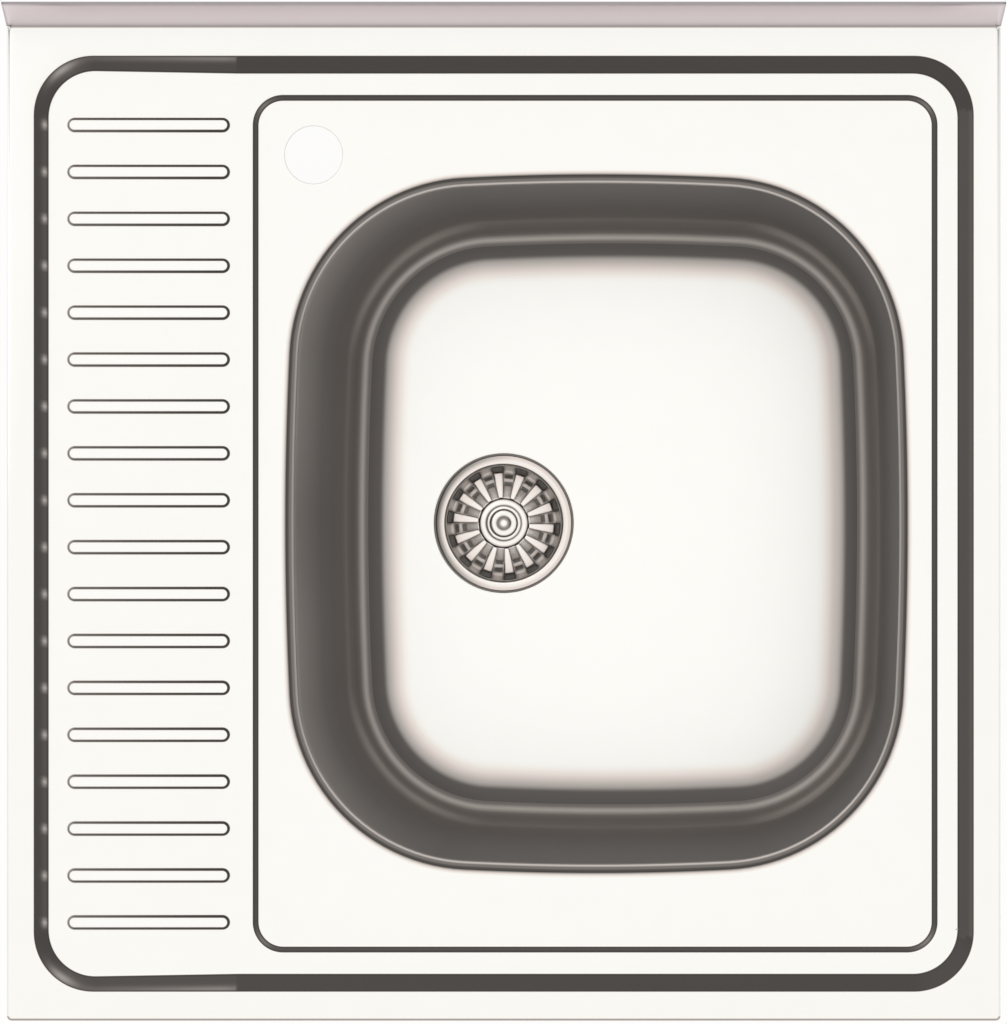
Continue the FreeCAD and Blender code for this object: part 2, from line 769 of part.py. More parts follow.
# ---------------------------------------------------------------------------
# Cabinet brackets and earth tag
# ---------------------------------------------------------------------------
def build_bracket(name, side, end):
    """Angle hooked over the side lip, with a slanted slot that pulls the sink down.

    It is drawn for the right rear corner; side and end are 1 or -1 for the others.
    """
    body = new_body(name)
    profile = new_sketch(body, f"{name}_profile", "XZ_Plane")
    inner = "bracket_face - bracket_sheet"
    outer = "half_width - sheet - running_gap"
    points = [(inner, "-bracket_drop"), ("bracket_face", "-bracket_drop"),
              ("bracket_face", "sheet"), (outer, "sheet"), (outer, "sheet + bracket_sheet"),
              (inner, "sheet + bracket_sheet")]
    draw_polygon(profile, [(f"{side} * ({x})", z) for x, z in points])
    add_pad(body, profile, "bracket_width", f"{name}_angle", symmetric=True)
    slot = new_sketch(body, f"{name}_slot_outline", "YZ_Plane")
    run = "(slot_length - slot_height) / 2"
    lean = f"{end} * slot_lean * 1 deg"
    centres = [(f"-{run} * cos({lean})", f"-slot_level - {run} * sin({lean})"),
               (f"{run} * cos({lean})", f"-slot_level + {run} * sin({lean})")]
    draw_belt(slot, centres, "slot_height / 2")
    add_pocket(body, slot, "half_width", f"{name}_slot", reverse=side > 0)
    bind(body, "Placement.Base.y", f"{end} * bracket_back")
    return body


def build_bracket_screws():
    """Four pan-head screws through the bracket slots, heads on the inside."""
    body = new_body("bracket_screw")
    sketch = new_sketch(body, "bracket_screw_profile", "XZ_Plane")
    draw_polygon(sketch, [
        ("0", "-wood_screw_head_height"), ("wood_screw_head_radius * 0.6",
                                           "-wood_screw_head_height"),
        ("wood_screw_head_radius", "-wood_screw_head_height / 3"),
        ("wood_screw_head_radius", "0"), ("wood_screw_radius", "0"),
        ("wood_screw_radius", "wood_screw_length - 2 * wood_screw_radius"),
        ("0", "wood_screw_length")])
    add_revolution(body, sketch)
    face = value("bracket_face - bracket_sheet")
    screws = []
    for side in (-1, 1):
        for end in (-1, 1):
            copy = body.Shape.copy()
            turn = FreeCAD.Rotation(FreeCAD.Vector(0, 1, 0), side * 90)
            spot = FreeCAD.Vector(side * face, end * value("bracket_back"),
                                  -value("slot_level"))
            copy.Placement = FreeCAD.Placement(spot, turn)
            screws.append(copy)
    group = doc.addObject("Part::Feature", "bracket_screws")
    group.Shape = Part.makeCompound(screws)
    return group


def build_earth_tag():
    """Bonding lug on the rear rail's web, with its screw and nut."""
    body = new_body("earth_tag")
    profile = new_sketch(body, "tag_profile", "YZ_Plane")
    draw_polygon(profile, [
        ("tag_back", "tag_level + tag_height"), ("tag_back - tag_sheet",
                                                 "tag_level + tag_height"),
        ("tag_back - tag_sheet", "tag_level + tag_sheet"),
        ("tag_back - tag_reach", "tag_level + tag_sheet"),
        ("tag_back - tag_reach", "tag_level"), ("tag_back", "tag_level")])
    add_pad(body, profile, "tag_width", "tag_strip", symmetric=True)
    hole = new_sketch(body, "tag_hole_outline", level="tag_level + tag_sheet")
    spot = ("0", "tag_back - tag_reach + tag_width / 2")
    draw_circle(hole, spot, "earth_screw_radius + thread_gap")
    add_pocket(body, hole, "2 * tag_sheet", "tag_hole")
    bind(body, "Placement.Base.x", "-tag_left")
    return body


def place_on_tag(body):
    bind(body, "Placement.Base.x", "-tag_left")
    bind(body, "Placement.Base.y", "tag_back - tag_reach + tag_width / 2")


def build_earth_screw():
    head_top = "tag_level + tag_sheet + earth_head_height"
    seat = "tag_level + tag_sheet"
    body = turned_body("earth_screw", [
        ("0", head_top), ("earth_head_radius * 0.7", head_top),
        ("earth_head_radius", f"{seat} + earth_head_height / 2"), ("earth_head_radius", seat),
        ("earth_screw_radius", seat), ("earth_screw_radius", f"{seat} - earth_screw_length"),
        ("0", f"{seat} - earth_screw_length")])
    place_on_tag(body)
    return body


def build_earth_nut():
    body = new_body("earth_nut")
    outline = new_sketch(body, "earth_nut_outline", level="tag_level")
    reach = "earth_nut_flats / 2 / cos(30 * 1 deg)"
    draw_polygon(outline, [(f"{reach} * cos({turn} * 1 deg)", f"{reach} * sin({turn} * 1 deg)")
                           for turn in range(0, 360, 60)])
    draw_circle(outline, ("0", "0"), "earth_screw_radius + thread_gap")
    add_pad(body, outline, "earth_nut_height", "nut_block", reverse=True)
    place_on_tag(body)
    return body


# ---------------------------------------------------------------------------
# Waste: cup, seals, body and clamp screw
# ---------------------------------------------------------------------------
def build_strainer_cup():
    """Stainless cup whose flange rests on its seal in the bowl floor."""
    outer = "throat_radius + cup_sheet"
    body = turned_body("strainer_cup", [
        ("screw_radius + thread_gap", "cup_under"), (outer, "cup_under"),
        (outer, "flange_under"), ("flange_radius", "flange_under"),
        ("flange_radius", "flange_under + flange_sheet / 2"),
        ("flange_radius - flange_sheet / 2", "flange_top"), ("throat_radius", "flange_top"),
        ("throat_radius", "cup_floor"), ("screw_radius + thread_gap", "cup_floor")])
    hole = new_sketch(body, "drain_hole_outline", level="cup_floor")
    draw_circle(hole, ("drain_hole_circle", "0"), "drain_hole_radius")
    pocket = add_pocket(body, hole, "2 * cup_sheet", "drain_hole")
    add_polar_copies(body, pocket, "drain_hole_count", "drain_holes")
    return body


def build_ring(name, inner, width, under, top):
    """A flat ring between two levels."""
    return turned_body(name, [(inner, under), (f"{inner} + {width}", under),
                              (f"{inner} + {width}", top), (inner, top)])


def build_waste_body():
    """Moulded funnel below the bowl: rim, chamber, cone and threaded outlet tail."""
    body = turned_body("waste_body", [
        ("chamber_radius", "gasket_under"), ("body_rim_radius", "gasket_under"),
        ("body_rim_radius", "gasket_under - body_rim_thickness"),
        ("chamber_radius + body_wall", "gasket_under - body_rim_thickness - body_wall"),
        ("chamber_radius + body_wall", "chamber_floor"), ("tail_radius", "tail_top"),
        ("tail_radius", "tail_end"), ("tail_bore", "tail_end"),
        ("tail_bore", "tail_top + body_wall"), ("chamber_radius", "chamber_floor + body_wall")])
    wall = body.Shape.Volume
    arm = new_sketch(body, "hub_arm_outline", level="hub_top - insert_length")
    draw_polygon(arm, [("0", "-hub_arm / 2"), ("tail_bore + body_wall / 2", "-hub_arm / 2"),
                       ("tail_bore + body_wall / 2", "hub_arm / 2"), ("0", "hub_arm / 2")])
    arm_pad = add_pad(body, arm, "hub_length - insert_length", "hub_arm_block", reverse=True)
    add_polar_copies(body, arm_pad, "hub_arm_count", "hub_arms")
    hub = new_sketch(body, "hub_outline", level="hub_top")
    draw_circle(hub, ("0", "0"), "hub_radius")
    add_pad(body, hub, "hub_length", "hub", reverse=True)
    if body.Shape.Volume <= wall:
        raise RuntimeError("waste_body: the hub adds nothing")
    pocket = new_sketch(body, "insert_pocket_outline", level="hub_top")
    draw_circle(pocket, ("0", "0"), "insert_radius + thread_gap")
    add_pocket(body, pocket, "insert_length", "insert_pocket")
    bore = new_sketch(body, "screw_bore_outline", level="hub_top")
    draw_circle(bore, ("0", "0"), "screw_radius + running_gap")
    add_pocket(body, bore, "2 * hub_length", "screw_bore")
    return body


def build_clamp_screw():
    """Hollow-headed screw that pulls cup and body together; its socket takes the stem."""
    head = "screw_head_top"
    return turned_body("clamp_screw", [
        ("0", "cup_floor - screw_length"), ("screw_radius", "cup_floor - screw_length"),
        ("screw_radius", "cup_floor"), ("screw_head_radius", "cup_floor"),
        ("screw_head_radius", head), ("socket_radius", head),
        ("socket_radius", f"{head} - socket_depth"), ("0", f"{head} - socket_depth")])


# ---------------------------------------------------------------------------
# Basket, knob, stem and stopper
# ---------------------------------------------------------------------------
def build_basket():
    """Stamped basket: rim, fluted dish with slots and windows, and raised blades."""
    skin = "basket_sheet"
    body = turned_body("basket", [
        ("stem_radius + stem_fit", "blade_under"), ("hub_plate_radius - basket_sheet",
                                                    "blade_under"),
        (f"slope_foot_radius - {skin}", "valley_under"), ("valley_outer", "valley_under"),
        ("basket_radius", "blade_under"), ("basket_radius", "basket_rim"),
        (f"basket_radius - {skin}", "basket_rim"), (f"basket_radius - {skin}", "blade_under"),
        (f"valley_outer - {skin}", "valley_top"), ("slope_foot_radius", "valley_top"),
        ("hub_plate_radius", "blade_top"), ("stem_radius + stem_fit", "blade_top")])
    half_step = "180 / blade_count * 1 deg"

    slot = new_sketch(body, "dish_slot_outline", level="valley_top")
    turned = [(f"{along} * cos({half_step})", f"{along} * sin({half_step})")
              for along in ("slot_inner + slot_width / 2", "slot_outer - slot_width / 2")]
    draw_belt(slot, turned, "slot_width / 2")
    cut = add_pocket(body, slot, "2 * basket_sheet", "dish_slot")
    add_polar_copies(body, cut, "blade_count", "dish_slots")

    blade = new_sketch(body, "blade_outline", level="blade_top")
    draw_polygon(blade, [("blade_inner", "-blade_inner_width / 2"),
                         ("blade_outer", "-blade_outer_width / 2"),
                         ("blade_outer", "blade_outer_width / 2"),
                         ("blade_inner", "blade_inner_width / 2")])
    strap = add_pad(body, blade, skin, "blade", reverse=True)
    add_polar_copies(body, strap, "blade_count", "blades")
    leg = new_sketch(body, "blade_leg_outline", level="blade_top")
    draw_polygon(leg, [(f"blade_outer - {skin}", "-blade_outer_width / 2"),
                       ("blade_outer", "-blade_outer_width / 2"),
                       ("blade_outer", "blade_outer_width / 2"),
                       (f"blade_outer - {skin}", "blade_outer_width / 2")])
    leg_pad = add_pad(body, leg, f"blade_level + {skin} / 2", "blade_leg", reverse=True)
    add_polar_copies(body, leg_pad, "blade_count", "blade_legs")

    window = new_sketch(body, "window_outline", level="blade_top")
    draw_polygon(window, [("window_inner", "-window_width / 2"),
                          ("window_outer", "-window_width / 2"),
                          ("window_outer", "window_width / 2"),
                          ("window_inner", "window_width / 2")])
    opened = add_pocket(body, window, "2 * blade_level", "window")
    add_polar_copies(body, opened, "blade_count", "windows")
    bind(body, "Placement.Rotation.Angle", "basket_turn * 1 deg")
    return body


def build_knob():
    """Turned knob with stepped rings, seated on the basket's hub plate."""
    step = "knob_height / 4"
    return turned_body("basket_knob", [
        ("stem_radius + stem_fit", "blade_top"), ("knob_radius", "blade_top"),
        ("knob_radius", f"blade_top + {step}"),
        ("knob_ring_radius", f"blade_top + 2 * {step}"),
        ("knob_ring_radius", f"blade_top + 2.5 * {step}"),
        ("knob_step_radius", f"blade_top + 3 * {step}"),
        ("knob_step_radius", "blade_top + knob_height"),
        ("knob_button_radius", "blade_top + knob_height"),
        ("knob_button_radius", f"blade_top + 3.5 * {step}"), ("0", f"blade_top + 3.5 * {step}"),
        ("0", f"blade_top + {step} + running_gap"),
        ("stem_radius + stem_fit", f"blade_top + {step} + running_gap")])


def build_stem():
    """Peg through the basket's hub: collar over the stopper, clip groove near its end."""
    end = "screw_head_top - stem_reach"
    groove = f"{end} + 2 * clip_width"
    return turned_body("basket_stem", [
        ("0", end), ("stem_radius", end), ("stem_radius", groove),
        ("stem_radius - clip_depth", groove),
        ("stem_radius - clip_depth", f"{groove} + clip_width"),
        ("stem_radius", f"{groove} + clip_width"), ("stem_radius", "collar_under"),
        ("collar_radius", "collar_under"), ("collar_radius", "collar_top"),
        ("stem_radius + 1.5", "collar_top"), ("stem_radius + 1.5", "blade_under - running_gap"),
        ("stem_radius", "blade_under - running_gap"),
        ("stem_radius", "blade_top + knob_height / 4"), ("0", "blade_top + knob_height / 4")])


def build_stem_clip():
    """Spring ring in the stem's groove."""
    groove = "screw_head_top - stem_reach + 2 * clip_width"
    return build_ring("stem_clip", "stem_radius - clip_depth", "clip_depth",
                      groove, f"{groove} + clip_width")


def build_stopper():
    """Rubber disc with a raised neck below the collar; it covers the drain holes."""
    bore = "screw_head_radius + running_gap"
    return turned_body("rubber_stopper", [
        (bore, "stopper_under"), ("stopper_radius", "stopper_under"),
        ("stopper_radius", "stopper_top"), ("stopper_neck", "stopper_top"),
        ("stopper_neck", "collar_under"), (bore, "collar_under")])


PARTS = [
    build_deck(),
    build_bowl(),
    build_rear_rail(),
    build_drainboard_stiffener(),
    build_drainboard_pad("drainboard_pad_left", "stiffener_middle - drain_pad_shift"),
    build_drainboard_pad("drainboard_pad_right", "stiffener_middle + drain_pad_shift"),
    build_bowl_pad(),
    build_bracket("bracket_front_left", -1, -1),
    build_bracket("bracket_front_right", 1, -1),
    build_bracket("bracket_rear_left", -1, 1),
    build_bracket("bracket_rear_right", 1, 1),
    build_bracket_screws(),
    build_earth_tag(),
    build_earth_screw(),
    build_earth_nut(),
    build_strainer_cup(),
    build_ring("flange_seal", "floor_hole", "seal_width", "seat_level", "flange_under"),
    build_ring("floor_gasket", "floor_hole", "gasket_width", "gasket_under", "seat_under"),
    build_waste_body(),
    build_ring("clamp_insert", "screw_radius + thread_gap",
               "insert_radius - screw_radius - thread_gap", "hub_top - insert_length",
               "hub_top"),
    build_clamp_screw(),
    build_basket(),
    build_knob(),
    build_stem(),
    build_stem_clip(),
    build_stopper(),
]

# ---------------------------------------------------------------------------
# Check and write
# ---------------------------------------------------------------------------
doc.recompute()
for item in doc.Objects:
    if "Invalid" in item.State or "Error" in item.State:
        raise RuntimeError(f"{item.Label} failed: {item.State}")
os.makedirs("parts", exist_ok=True)
for part in PARTS:
    if part.Shape.isNull() or not part.Shape.isValid():
        raise RuntimeError(f"{part.Label} has no valid shape")
    part.Shape.exportStep(os.path.join("parts", f"{part.Label}.step"))
    print(part.Label, len(part.Shape.Solids), round(part.Shape.Volume, 1), part.Shape.BoundBox)
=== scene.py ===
"""Lay-on kitchen sink with drainboard, dressed for rendering.

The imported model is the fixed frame. Sizes are in millimetres, in that frame: X to the
right, Y towards the wall, Z up. Meshes are written in metres.
"""

import logging
import math
from dataclasses import dataclass, replace
from enum import Enum
from typing import Callable, Iterable, Sequence

import bmesh
import bpy
from mathutils import Matrix, Vector

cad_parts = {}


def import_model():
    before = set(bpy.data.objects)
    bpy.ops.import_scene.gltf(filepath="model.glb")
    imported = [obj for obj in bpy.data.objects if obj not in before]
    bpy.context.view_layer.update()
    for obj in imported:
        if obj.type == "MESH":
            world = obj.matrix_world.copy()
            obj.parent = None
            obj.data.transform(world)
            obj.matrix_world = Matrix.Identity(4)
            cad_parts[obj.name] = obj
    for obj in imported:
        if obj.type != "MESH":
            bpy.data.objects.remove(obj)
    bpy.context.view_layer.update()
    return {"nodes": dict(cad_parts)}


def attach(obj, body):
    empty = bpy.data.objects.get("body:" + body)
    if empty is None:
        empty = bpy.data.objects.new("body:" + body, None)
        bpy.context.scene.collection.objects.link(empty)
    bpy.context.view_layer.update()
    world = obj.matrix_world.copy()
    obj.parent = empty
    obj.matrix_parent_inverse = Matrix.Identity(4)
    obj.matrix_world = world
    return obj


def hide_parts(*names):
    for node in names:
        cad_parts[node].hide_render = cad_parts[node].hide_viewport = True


LOG = logging.getLogger("sink")
MM = 0.001
TINY = 1e-6
UP = Vector((0.0, 0.0, 1.0))


# ---------------------------------------------------------------------------
# Shader nodes
# ---------------------------------------------------------------------------
class Signal:
    """A shader socket that takes part in Python arithmetic."""

    def __init__(self, shader: "Shader", socket: bpy.types.NodeSocket) -> None:
        """Wraps an output socket of the shader's tree."""
        self.shader = shader
        self.socket = socket

    def math(self, operation: str, *values: "Signal | float") -> "Signal":
        """Adds one Math node.

        Args:
            operation: The node's operation.
            values: Its inputs in order.

        Returns:
            The node's result.
        """
        settings = {"operation": operation}
        return self.shader.node("ShaderNodeMath", settings, dict(enumerate(values)))

    def __add__(self, other: "Signal | float") -> "Signal":
        """Sum."""
        return self.math("ADD", self, other)

    def __radd__(self, other: float) -> "Signal":
        """Sum with a number on the left."""
        return self.math("ADD", other, self)

    def __sub__(self, other: "Signal | float") -> "Signal":
        """Difference."""
        return self.math("SUBTRACT", self, other)

    def __rsub__(self, other: float) -> "Signal":
        """Difference from a number on the left."""
        return self.math("SUBTRACT", other, self)

    def __mul__(self, other: "Signal | float") -> "Signal":
        """Product."""
        return self.math("MULTIPLY", self, other)

    def __rmul__(self, other: float) -> "Signal":
        """Product with a number on the left."""
        return self.math("MULTIPLY", other, self)

    def step(self, low: float, high: float) -> "Signal":
        """Rises smoothly from 0 to 1.

        Args:
            low: The value where the result is 0.
            high: The value where the result is 1.

        Returns:
            The result.
        """
        settings = {"interpolation_type": "SMOOTHSTEP"}
        sockets = {"Value": self, "From Min": low, "From Max": high}
        return self.shader.node("ShaderNodeMapRange", settings, sockets)


class Shader:
    """A material's node tree, built from its surface socket backwards."""

    def __init__(self, name: str) -> None:
        """Makes an empty material with an output node.

        Args:
            name: The material's name.
        """
        self.material = bpy.data.materials.new(name)
        self.material.use_nodes = True
        self.tree = self.material.node_tree
        self.tree.nodes.clear()
        self.output = self.tree.nodes.new("ShaderNodeOutputMaterial")

    def node(self, kind: str, settings: dict | None = None,
             sockets: dict | None = None, out: int | str = 0) -> Signal:
        """Adds a node of any type.

        Args:
            kind: The node's type.
            settings: Its properties, and "stops" for a colour ramp.
            sockets: Values or signals for its inputs, by name or place.
            out: The output that is wanted, by name or place.

        Returns:
            That output.
        """
        node = self.tree.nodes.new(kind)
        for key, value in (settings or {}).items():
            if key == "stops":
                self._set_stops(node.color_ramp, value)
            else:
                setattr(node, key, value)
        for key, value in (sockets or {}).items():
            if isinstance(value, Signal):
                self.tree.links.new(value.socket, node.inputs[key])
            else:
                node.inputs[key].default_value = value
        return Signal(self, node.outputs[out])

    @staticmethod
    def _set_stops(ramp: bpy.types.ColorRamp, stops: Sequence[tuple]) -> None:
        """Gives a ramp its stops.

        Args:
            ramp: A new ramp, which has two stops of its own.
            stops: (position, colour) pairs in rising order.
        """
        while len(ramp.elements) < len(stops):
            ramp.elements.new(1.0)
        for element, (position, colour) in zip(ramp.elements, stops):
            element.position = position
            element.color = colour

    def place(self, stretch: tuple = (1.0, 1.0, 1.0)) -> Signal:
        """Object coordinates, stretched along the axes."""
        spot = self.node("ShaderNodeTexCoord", out="Object")
        return self.node("ShaderNodeMapping", {}, {"Vector": spot, "Scale": stretch})

    def noise(self, scale: float, detail: float = 3.0, stretch: tuple = (1.0, 1.0, 1.0),
              roughness: float = 0.5) -> Signal:
        """Noise on object coordinates.

        Args:
            scale: Its features per metre.
            detail: How many finer layers it has.
            stretch: Factors on the axes; a large one squeezes the features along its axis.
            roughness: The weight of the finer layers.

        Returns:
            The noise, 0.5 in the mean.
        """
        return self.node("ShaderNodeTexNoise", {}, {
            "Vector": self.place(stretch), "Scale": scale, "Detail": detail,
            "Roughness": roughness})

    def bump(self, height: Signal, distance: float, strength: float = 1.0) -> Signal:
        """A normal from a height.

        Args:
            height: Heights between about 0 and 1.
            distance: What a height of 1 stands for, in millimetres.
            strength: The share of the effect.

        Returns:
            The bent normal.
        """
        sockets = {"Height": height, "Distance": distance * MM, "Strength": strength}
        return self.node("ShaderNodeBump", {}, sockets)

    def scaled(self, colour: "Signal | tuple", factor: Signal) -> Signal:
        """Multiplies a colour by a number.

        Args:
            colour: The colour.
            factor: The number.

        Returns:
            The product.
        """
        base = colour if isinstance(colour, Signal) else colour[:3]
        return self.node("ShaderNodeVectorMath", {"operation": "SCALE"},
                         {0: base, "Scale": factor})

    def mixed(self, factor: Signal, first: "Signal | tuple", second: "Signal | tuple") -> Signal:
        """Mixes two colours.

        Args:
            factor: The share of the second colour.
            first: The first colour.
            second: The second colour.

        Returns:
            The mixed colour.
        """
        settings = {"data_type": "RGBA"}
        sockets = {0: factor, 6: first, 7: second}
        return self.node("ShaderNodeMix", settings, sockets, out=2)

    def surface(self, **sockets: "Signal | float | tuple") -> bpy.types.Material:
        """Ends the tree in one Principled shader.

        Args:
            sockets: Its inputs; an underscore stands for a space.

        Returns:
            The finished material.
        """
        named = {key.replace("_", " "): value for key, value in sockets.items()}
        result = self.node("ShaderNodeBsdfPrincipled", {}, named)
        self.tree.links.new(result.socket, self.output.inputs["Surface"])
        return self.material


def linear(red: float, green: float, blue: float) -> tuple[float, float, float, float]:
    """Turns a display colour into a linear one, by the sRGB curve.

    Args:
        red: The red channel, from 0 to 255.
        green: The green channel.
        blue: The blue channel.

    Returns:
        Linear RGBA.
    """
    def one(level: float) -> float:
        """One channel."""
        level /= 255.0
        return level / 12.92 if level <= 0.04045 else ((level + 0.055) / 1.055) ** 2.4
    return (one(red), one(green), one(blue), 1.0)


# ---------------------------------------------------------------------------
# Finishes
# ---------------------------------------------------------------------------
class Channel(Enum):
    """Attributes that the meshes carry for their finishes; the tone holds painted shade, painted
    highlights and painted reflections.
    """

    TONE = "tone"


# Display colours of the steel by tone, from painted shade in a dark crease to a pale flat.
STEEL_GREYS = (
    (0.0, (6, 5, 4)), (0.28, (73, 70, 68)), (0.42, (109, 104, 100)), (0.58, (151, 146, 141)),
    (0.74, (193, 185, 179)), (0.88, (228, 217, 210)), (0.94, (243, 238, 231)),
    (0.975, (251, 249, 244)), (1.0, (252, 251, 248)))


@dataclass(frozen=True)
class PaintedShadeSteel:
    """Stainless steel whose tone follows the mesh: painted shade on slopes, walls and creases,
    painted highlights and glints, and pale flats.
    """

    name: str
    roughness: float = 0.34
    edge: float = 1.0
    grain: float = 0.012
    mottle: float = 0.02
    metallic: float = 1.0
    # lift scales the base colour; above 1 it is painted light that brightens places which would
    # render too dark.
    lift: float = 1.0
    tint: tuple = (1.0, 1.0, 1.0)
    cloud_scale: float = 55.0
    brush_scale: float = 40.0
    brush_stretch: tuple = (1.0, 60.0, 60.0)
    brush_spread: float = 0.08
    brush_relief: float = 0.004

    def material(self) -> bpy.types.Material:
        """Builds the material.

        Returns:
            The material.
        """
        shader = Shader(self.name)
        # The tone attribute holds painted shade, highlights and reflections; the ramp turns it into
        # the base colour.
        tone = shader.node("ShaderNodeAttribute", {"attribute_name": Channel.TONE.value},
                           out="Fac")
        stops = [(place, linear(*(level * share for level, share in zip(grey, self.tint))))
                 for place, grey in STEEL_GREYS]
        colour = shader.node("ShaderNodeValToRGB", {"stops": stops}, {"Fac": tone}, out="Color")
        cloud = shader.noise(self.cloud_scale, 4.0)
        brushed = shader.noise(self.brush_scale, 5.0, self.brush_stretch, 0.65)
        shade = 1.0 - self.mottle / 2 + self.mottle * (cloud - 0.5) + self.grain * (brushed - 0.5)
        return shader.surface(
            Base_Color=shader.scaled(colour, self.lift * shade), Metallic=self.metallic,
            Roughness=self.roughness + self.brush_spread * (brushed - 0.5),
            Specular_Tint=(self.edge, self.edge, self.edge, 1.0),
            Normal=shader.bump(brushed, self.brush_relief, 0.5))


@dataclass(frozen=True)
class PlainMetal:
    """Metal with a mottled surface and fine drawing marks."""

    name: str
    colour: tuple
    roughness: float = 0.3
    spread: float = 0.12
    mottle: float = 0.12
    size: float = 120.0
    stretch: tuple = (1.0, 12.0, 12.0)
    relief: float = 0.01

    def material(self) -> bpy.types.Material:
        """Builds the material.

        Returns:
            The material.
        """
        shader = Shader(self.name)
        cloud = shader.noise(self.size, 4.0)
        marks = shader.noise(self.size * 4, 4.0, self.stretch, 0.6)
        shade = 1.0 + self.mottle * (cloud - 0.6)
        return shader.surface(
            Base_Color=shader.scaled(linear(*self.colour), shade), Metallic=1.0,
            Roughness=self.roughness + self.spread * (marks - 0.5),
            Normal=shader.bump(marks, self.relief))


@dataclass(frozen=True)
class MouldedRubber:
    """Moulded rubber with a fine grain and a little bloom."""

    name: str
    colour: tuple
    bloom: tuple
    grain: float = 900.0
    bloom_scale: float = 70.0
    bloom_range: tuple = (0.45, 0.75)
    roughness: float = 0.55
    spread: float = 0.25
    relief: float = 0.05

    def material(self) -> bpy.types.Material:
        """Builds the material.

        Returns:
            The material.
        """
        shader = Shader(self.name)
        bloom = shader.noise(self.bloom_scale, 4.0).step(*self.bloom_range)
        grain = shader.noise(self.grain, 2.0)
        return shader.surface(
            Base_Color=shader.mixed(bloom, linear(*self.colour), linear(*self.bloom)),
            Roughness=self.roughness + self.spread * grain,
            Normal=shader.bump(grain, self.relief))


@dataclass(frozen=True)
class DampingSheet:
    """Bituminous damping sheet, embossed with a lattice of small hollows, with painted shade in
    them.
    """

    name: str
    colour: tuple = (46, 46, 48)
    pitch: float = 6.0
    scatter: float = 0.35
    hollow_edge: tuple = (0.03, 0.16)
    dust_scale: float = 160.0
    roughness: float = 0.62
    relief: float = 0.3

    def material(self) -> bpy.types.Material:
        """Builds the material.

        Returns:
            The material.
        """
        shader = Shader(self.name)
        cells = shader.node(
            "ShaderNodeTexVoronoi", {"feature": "DISTANCE_TO_EDGE"},
            {"Vector": shader.place(), "Scale": 1.0 / (self.pitch * MM),
             "Randomness": self.scatter})
        hollow = cells.step(*self.hollow_edge)
        dust = shader.noise(self.dust_scale, 5.0)
        # The hollows are painted darker, as painted shade; the dust varies the colour at random.
        shade = 1.25 - 0.35 * hollow + 0.5 * (dust - 0.5)
        return shader.surface(
            Base_Color=shader.scaled(linear(*self.colour), shade),
            Roughness=self.roughness + 0.2 * dust,
            Normal=shader.bump(1.0 - hollow, self.relief))


@dataclass(frozen=True)
class MouldedPlastic:
    """Moulded polypropylene with a soft sheen and faint flow marks."""

    name: str
    colour: tuple = (226, 226, 221)
    flow_scale: float = 45.0
    flow_stretch: tuple = (1.0, 1.0, 0.3)
    flow_depth: float = 0.08
    grain: float = 1100.0
    roughness: float = 0.38
    relief: float = 0.02

    def material(self) -> bpy.types.Material:
        """Builds the material.

        Returns:
            The material.
        """
        shader = Shader(self.name)
        flow = shader.noise(self.flow_scale, 3.0, self.flow_stretch)
        skin = shader.noise(self.grain, 2.0)
        shade = 0.96 + self.flow_depth * (flow - 0.5)
        return shader.surface(
            Base_Color=shader.scaled(linear(*self.colour), shade),
            Roughness=self.roughness + 0.1 * skin, Normal=shader.bump(skin, self.relief))


@dataclass(frozen=True)
class StudioFloor:
    """Pale matt floor that shows white to the camera and keeps a soft shadow."""

    name: str = "studio_floor"
    colour: tuple = (249, 249, 247)
    glow_colour: tuple = (1.02, 1.015, 1.005, 1.0)
    glow: float = 0.9
    cloud_scale: float = 3.0

    def material(self) -> bpy.types.Material:
        """Builds the material.

        Returns:
            The material.
        """
        shader = Shader(self.name)
        camera, glossy, through = (
            shader.node("ShaderNodeLightPath", out=name)
            for name in ("Is Camera Ray", "Is Glossy Ray", "Is Transmission Ray"))
        seen = camera.math("MAXIMUM", camera, glossy)
        seen = seen.math("MAXIMUM", seen, through)
        cloud = shader.noise(self.cloud_scale, 3.0)
        matt = shader.node("ShaderNodeBsdfDiffuse", {}, {
            "Color": shader.scaled(linear(*self.colour), 0.99 + 0.02 * cloud)})
        glow = shader.node("ShaderNodeEmission", {}, {"Color": self.glow_colour})
        both = shader.node("ShaderNodeMixShader", {}, {0: seen * self.glow, 1: matt, 2: glow})
        shader.tree.links.new(both.socket, shader.output.inputs["Surface"])
        return shader.material


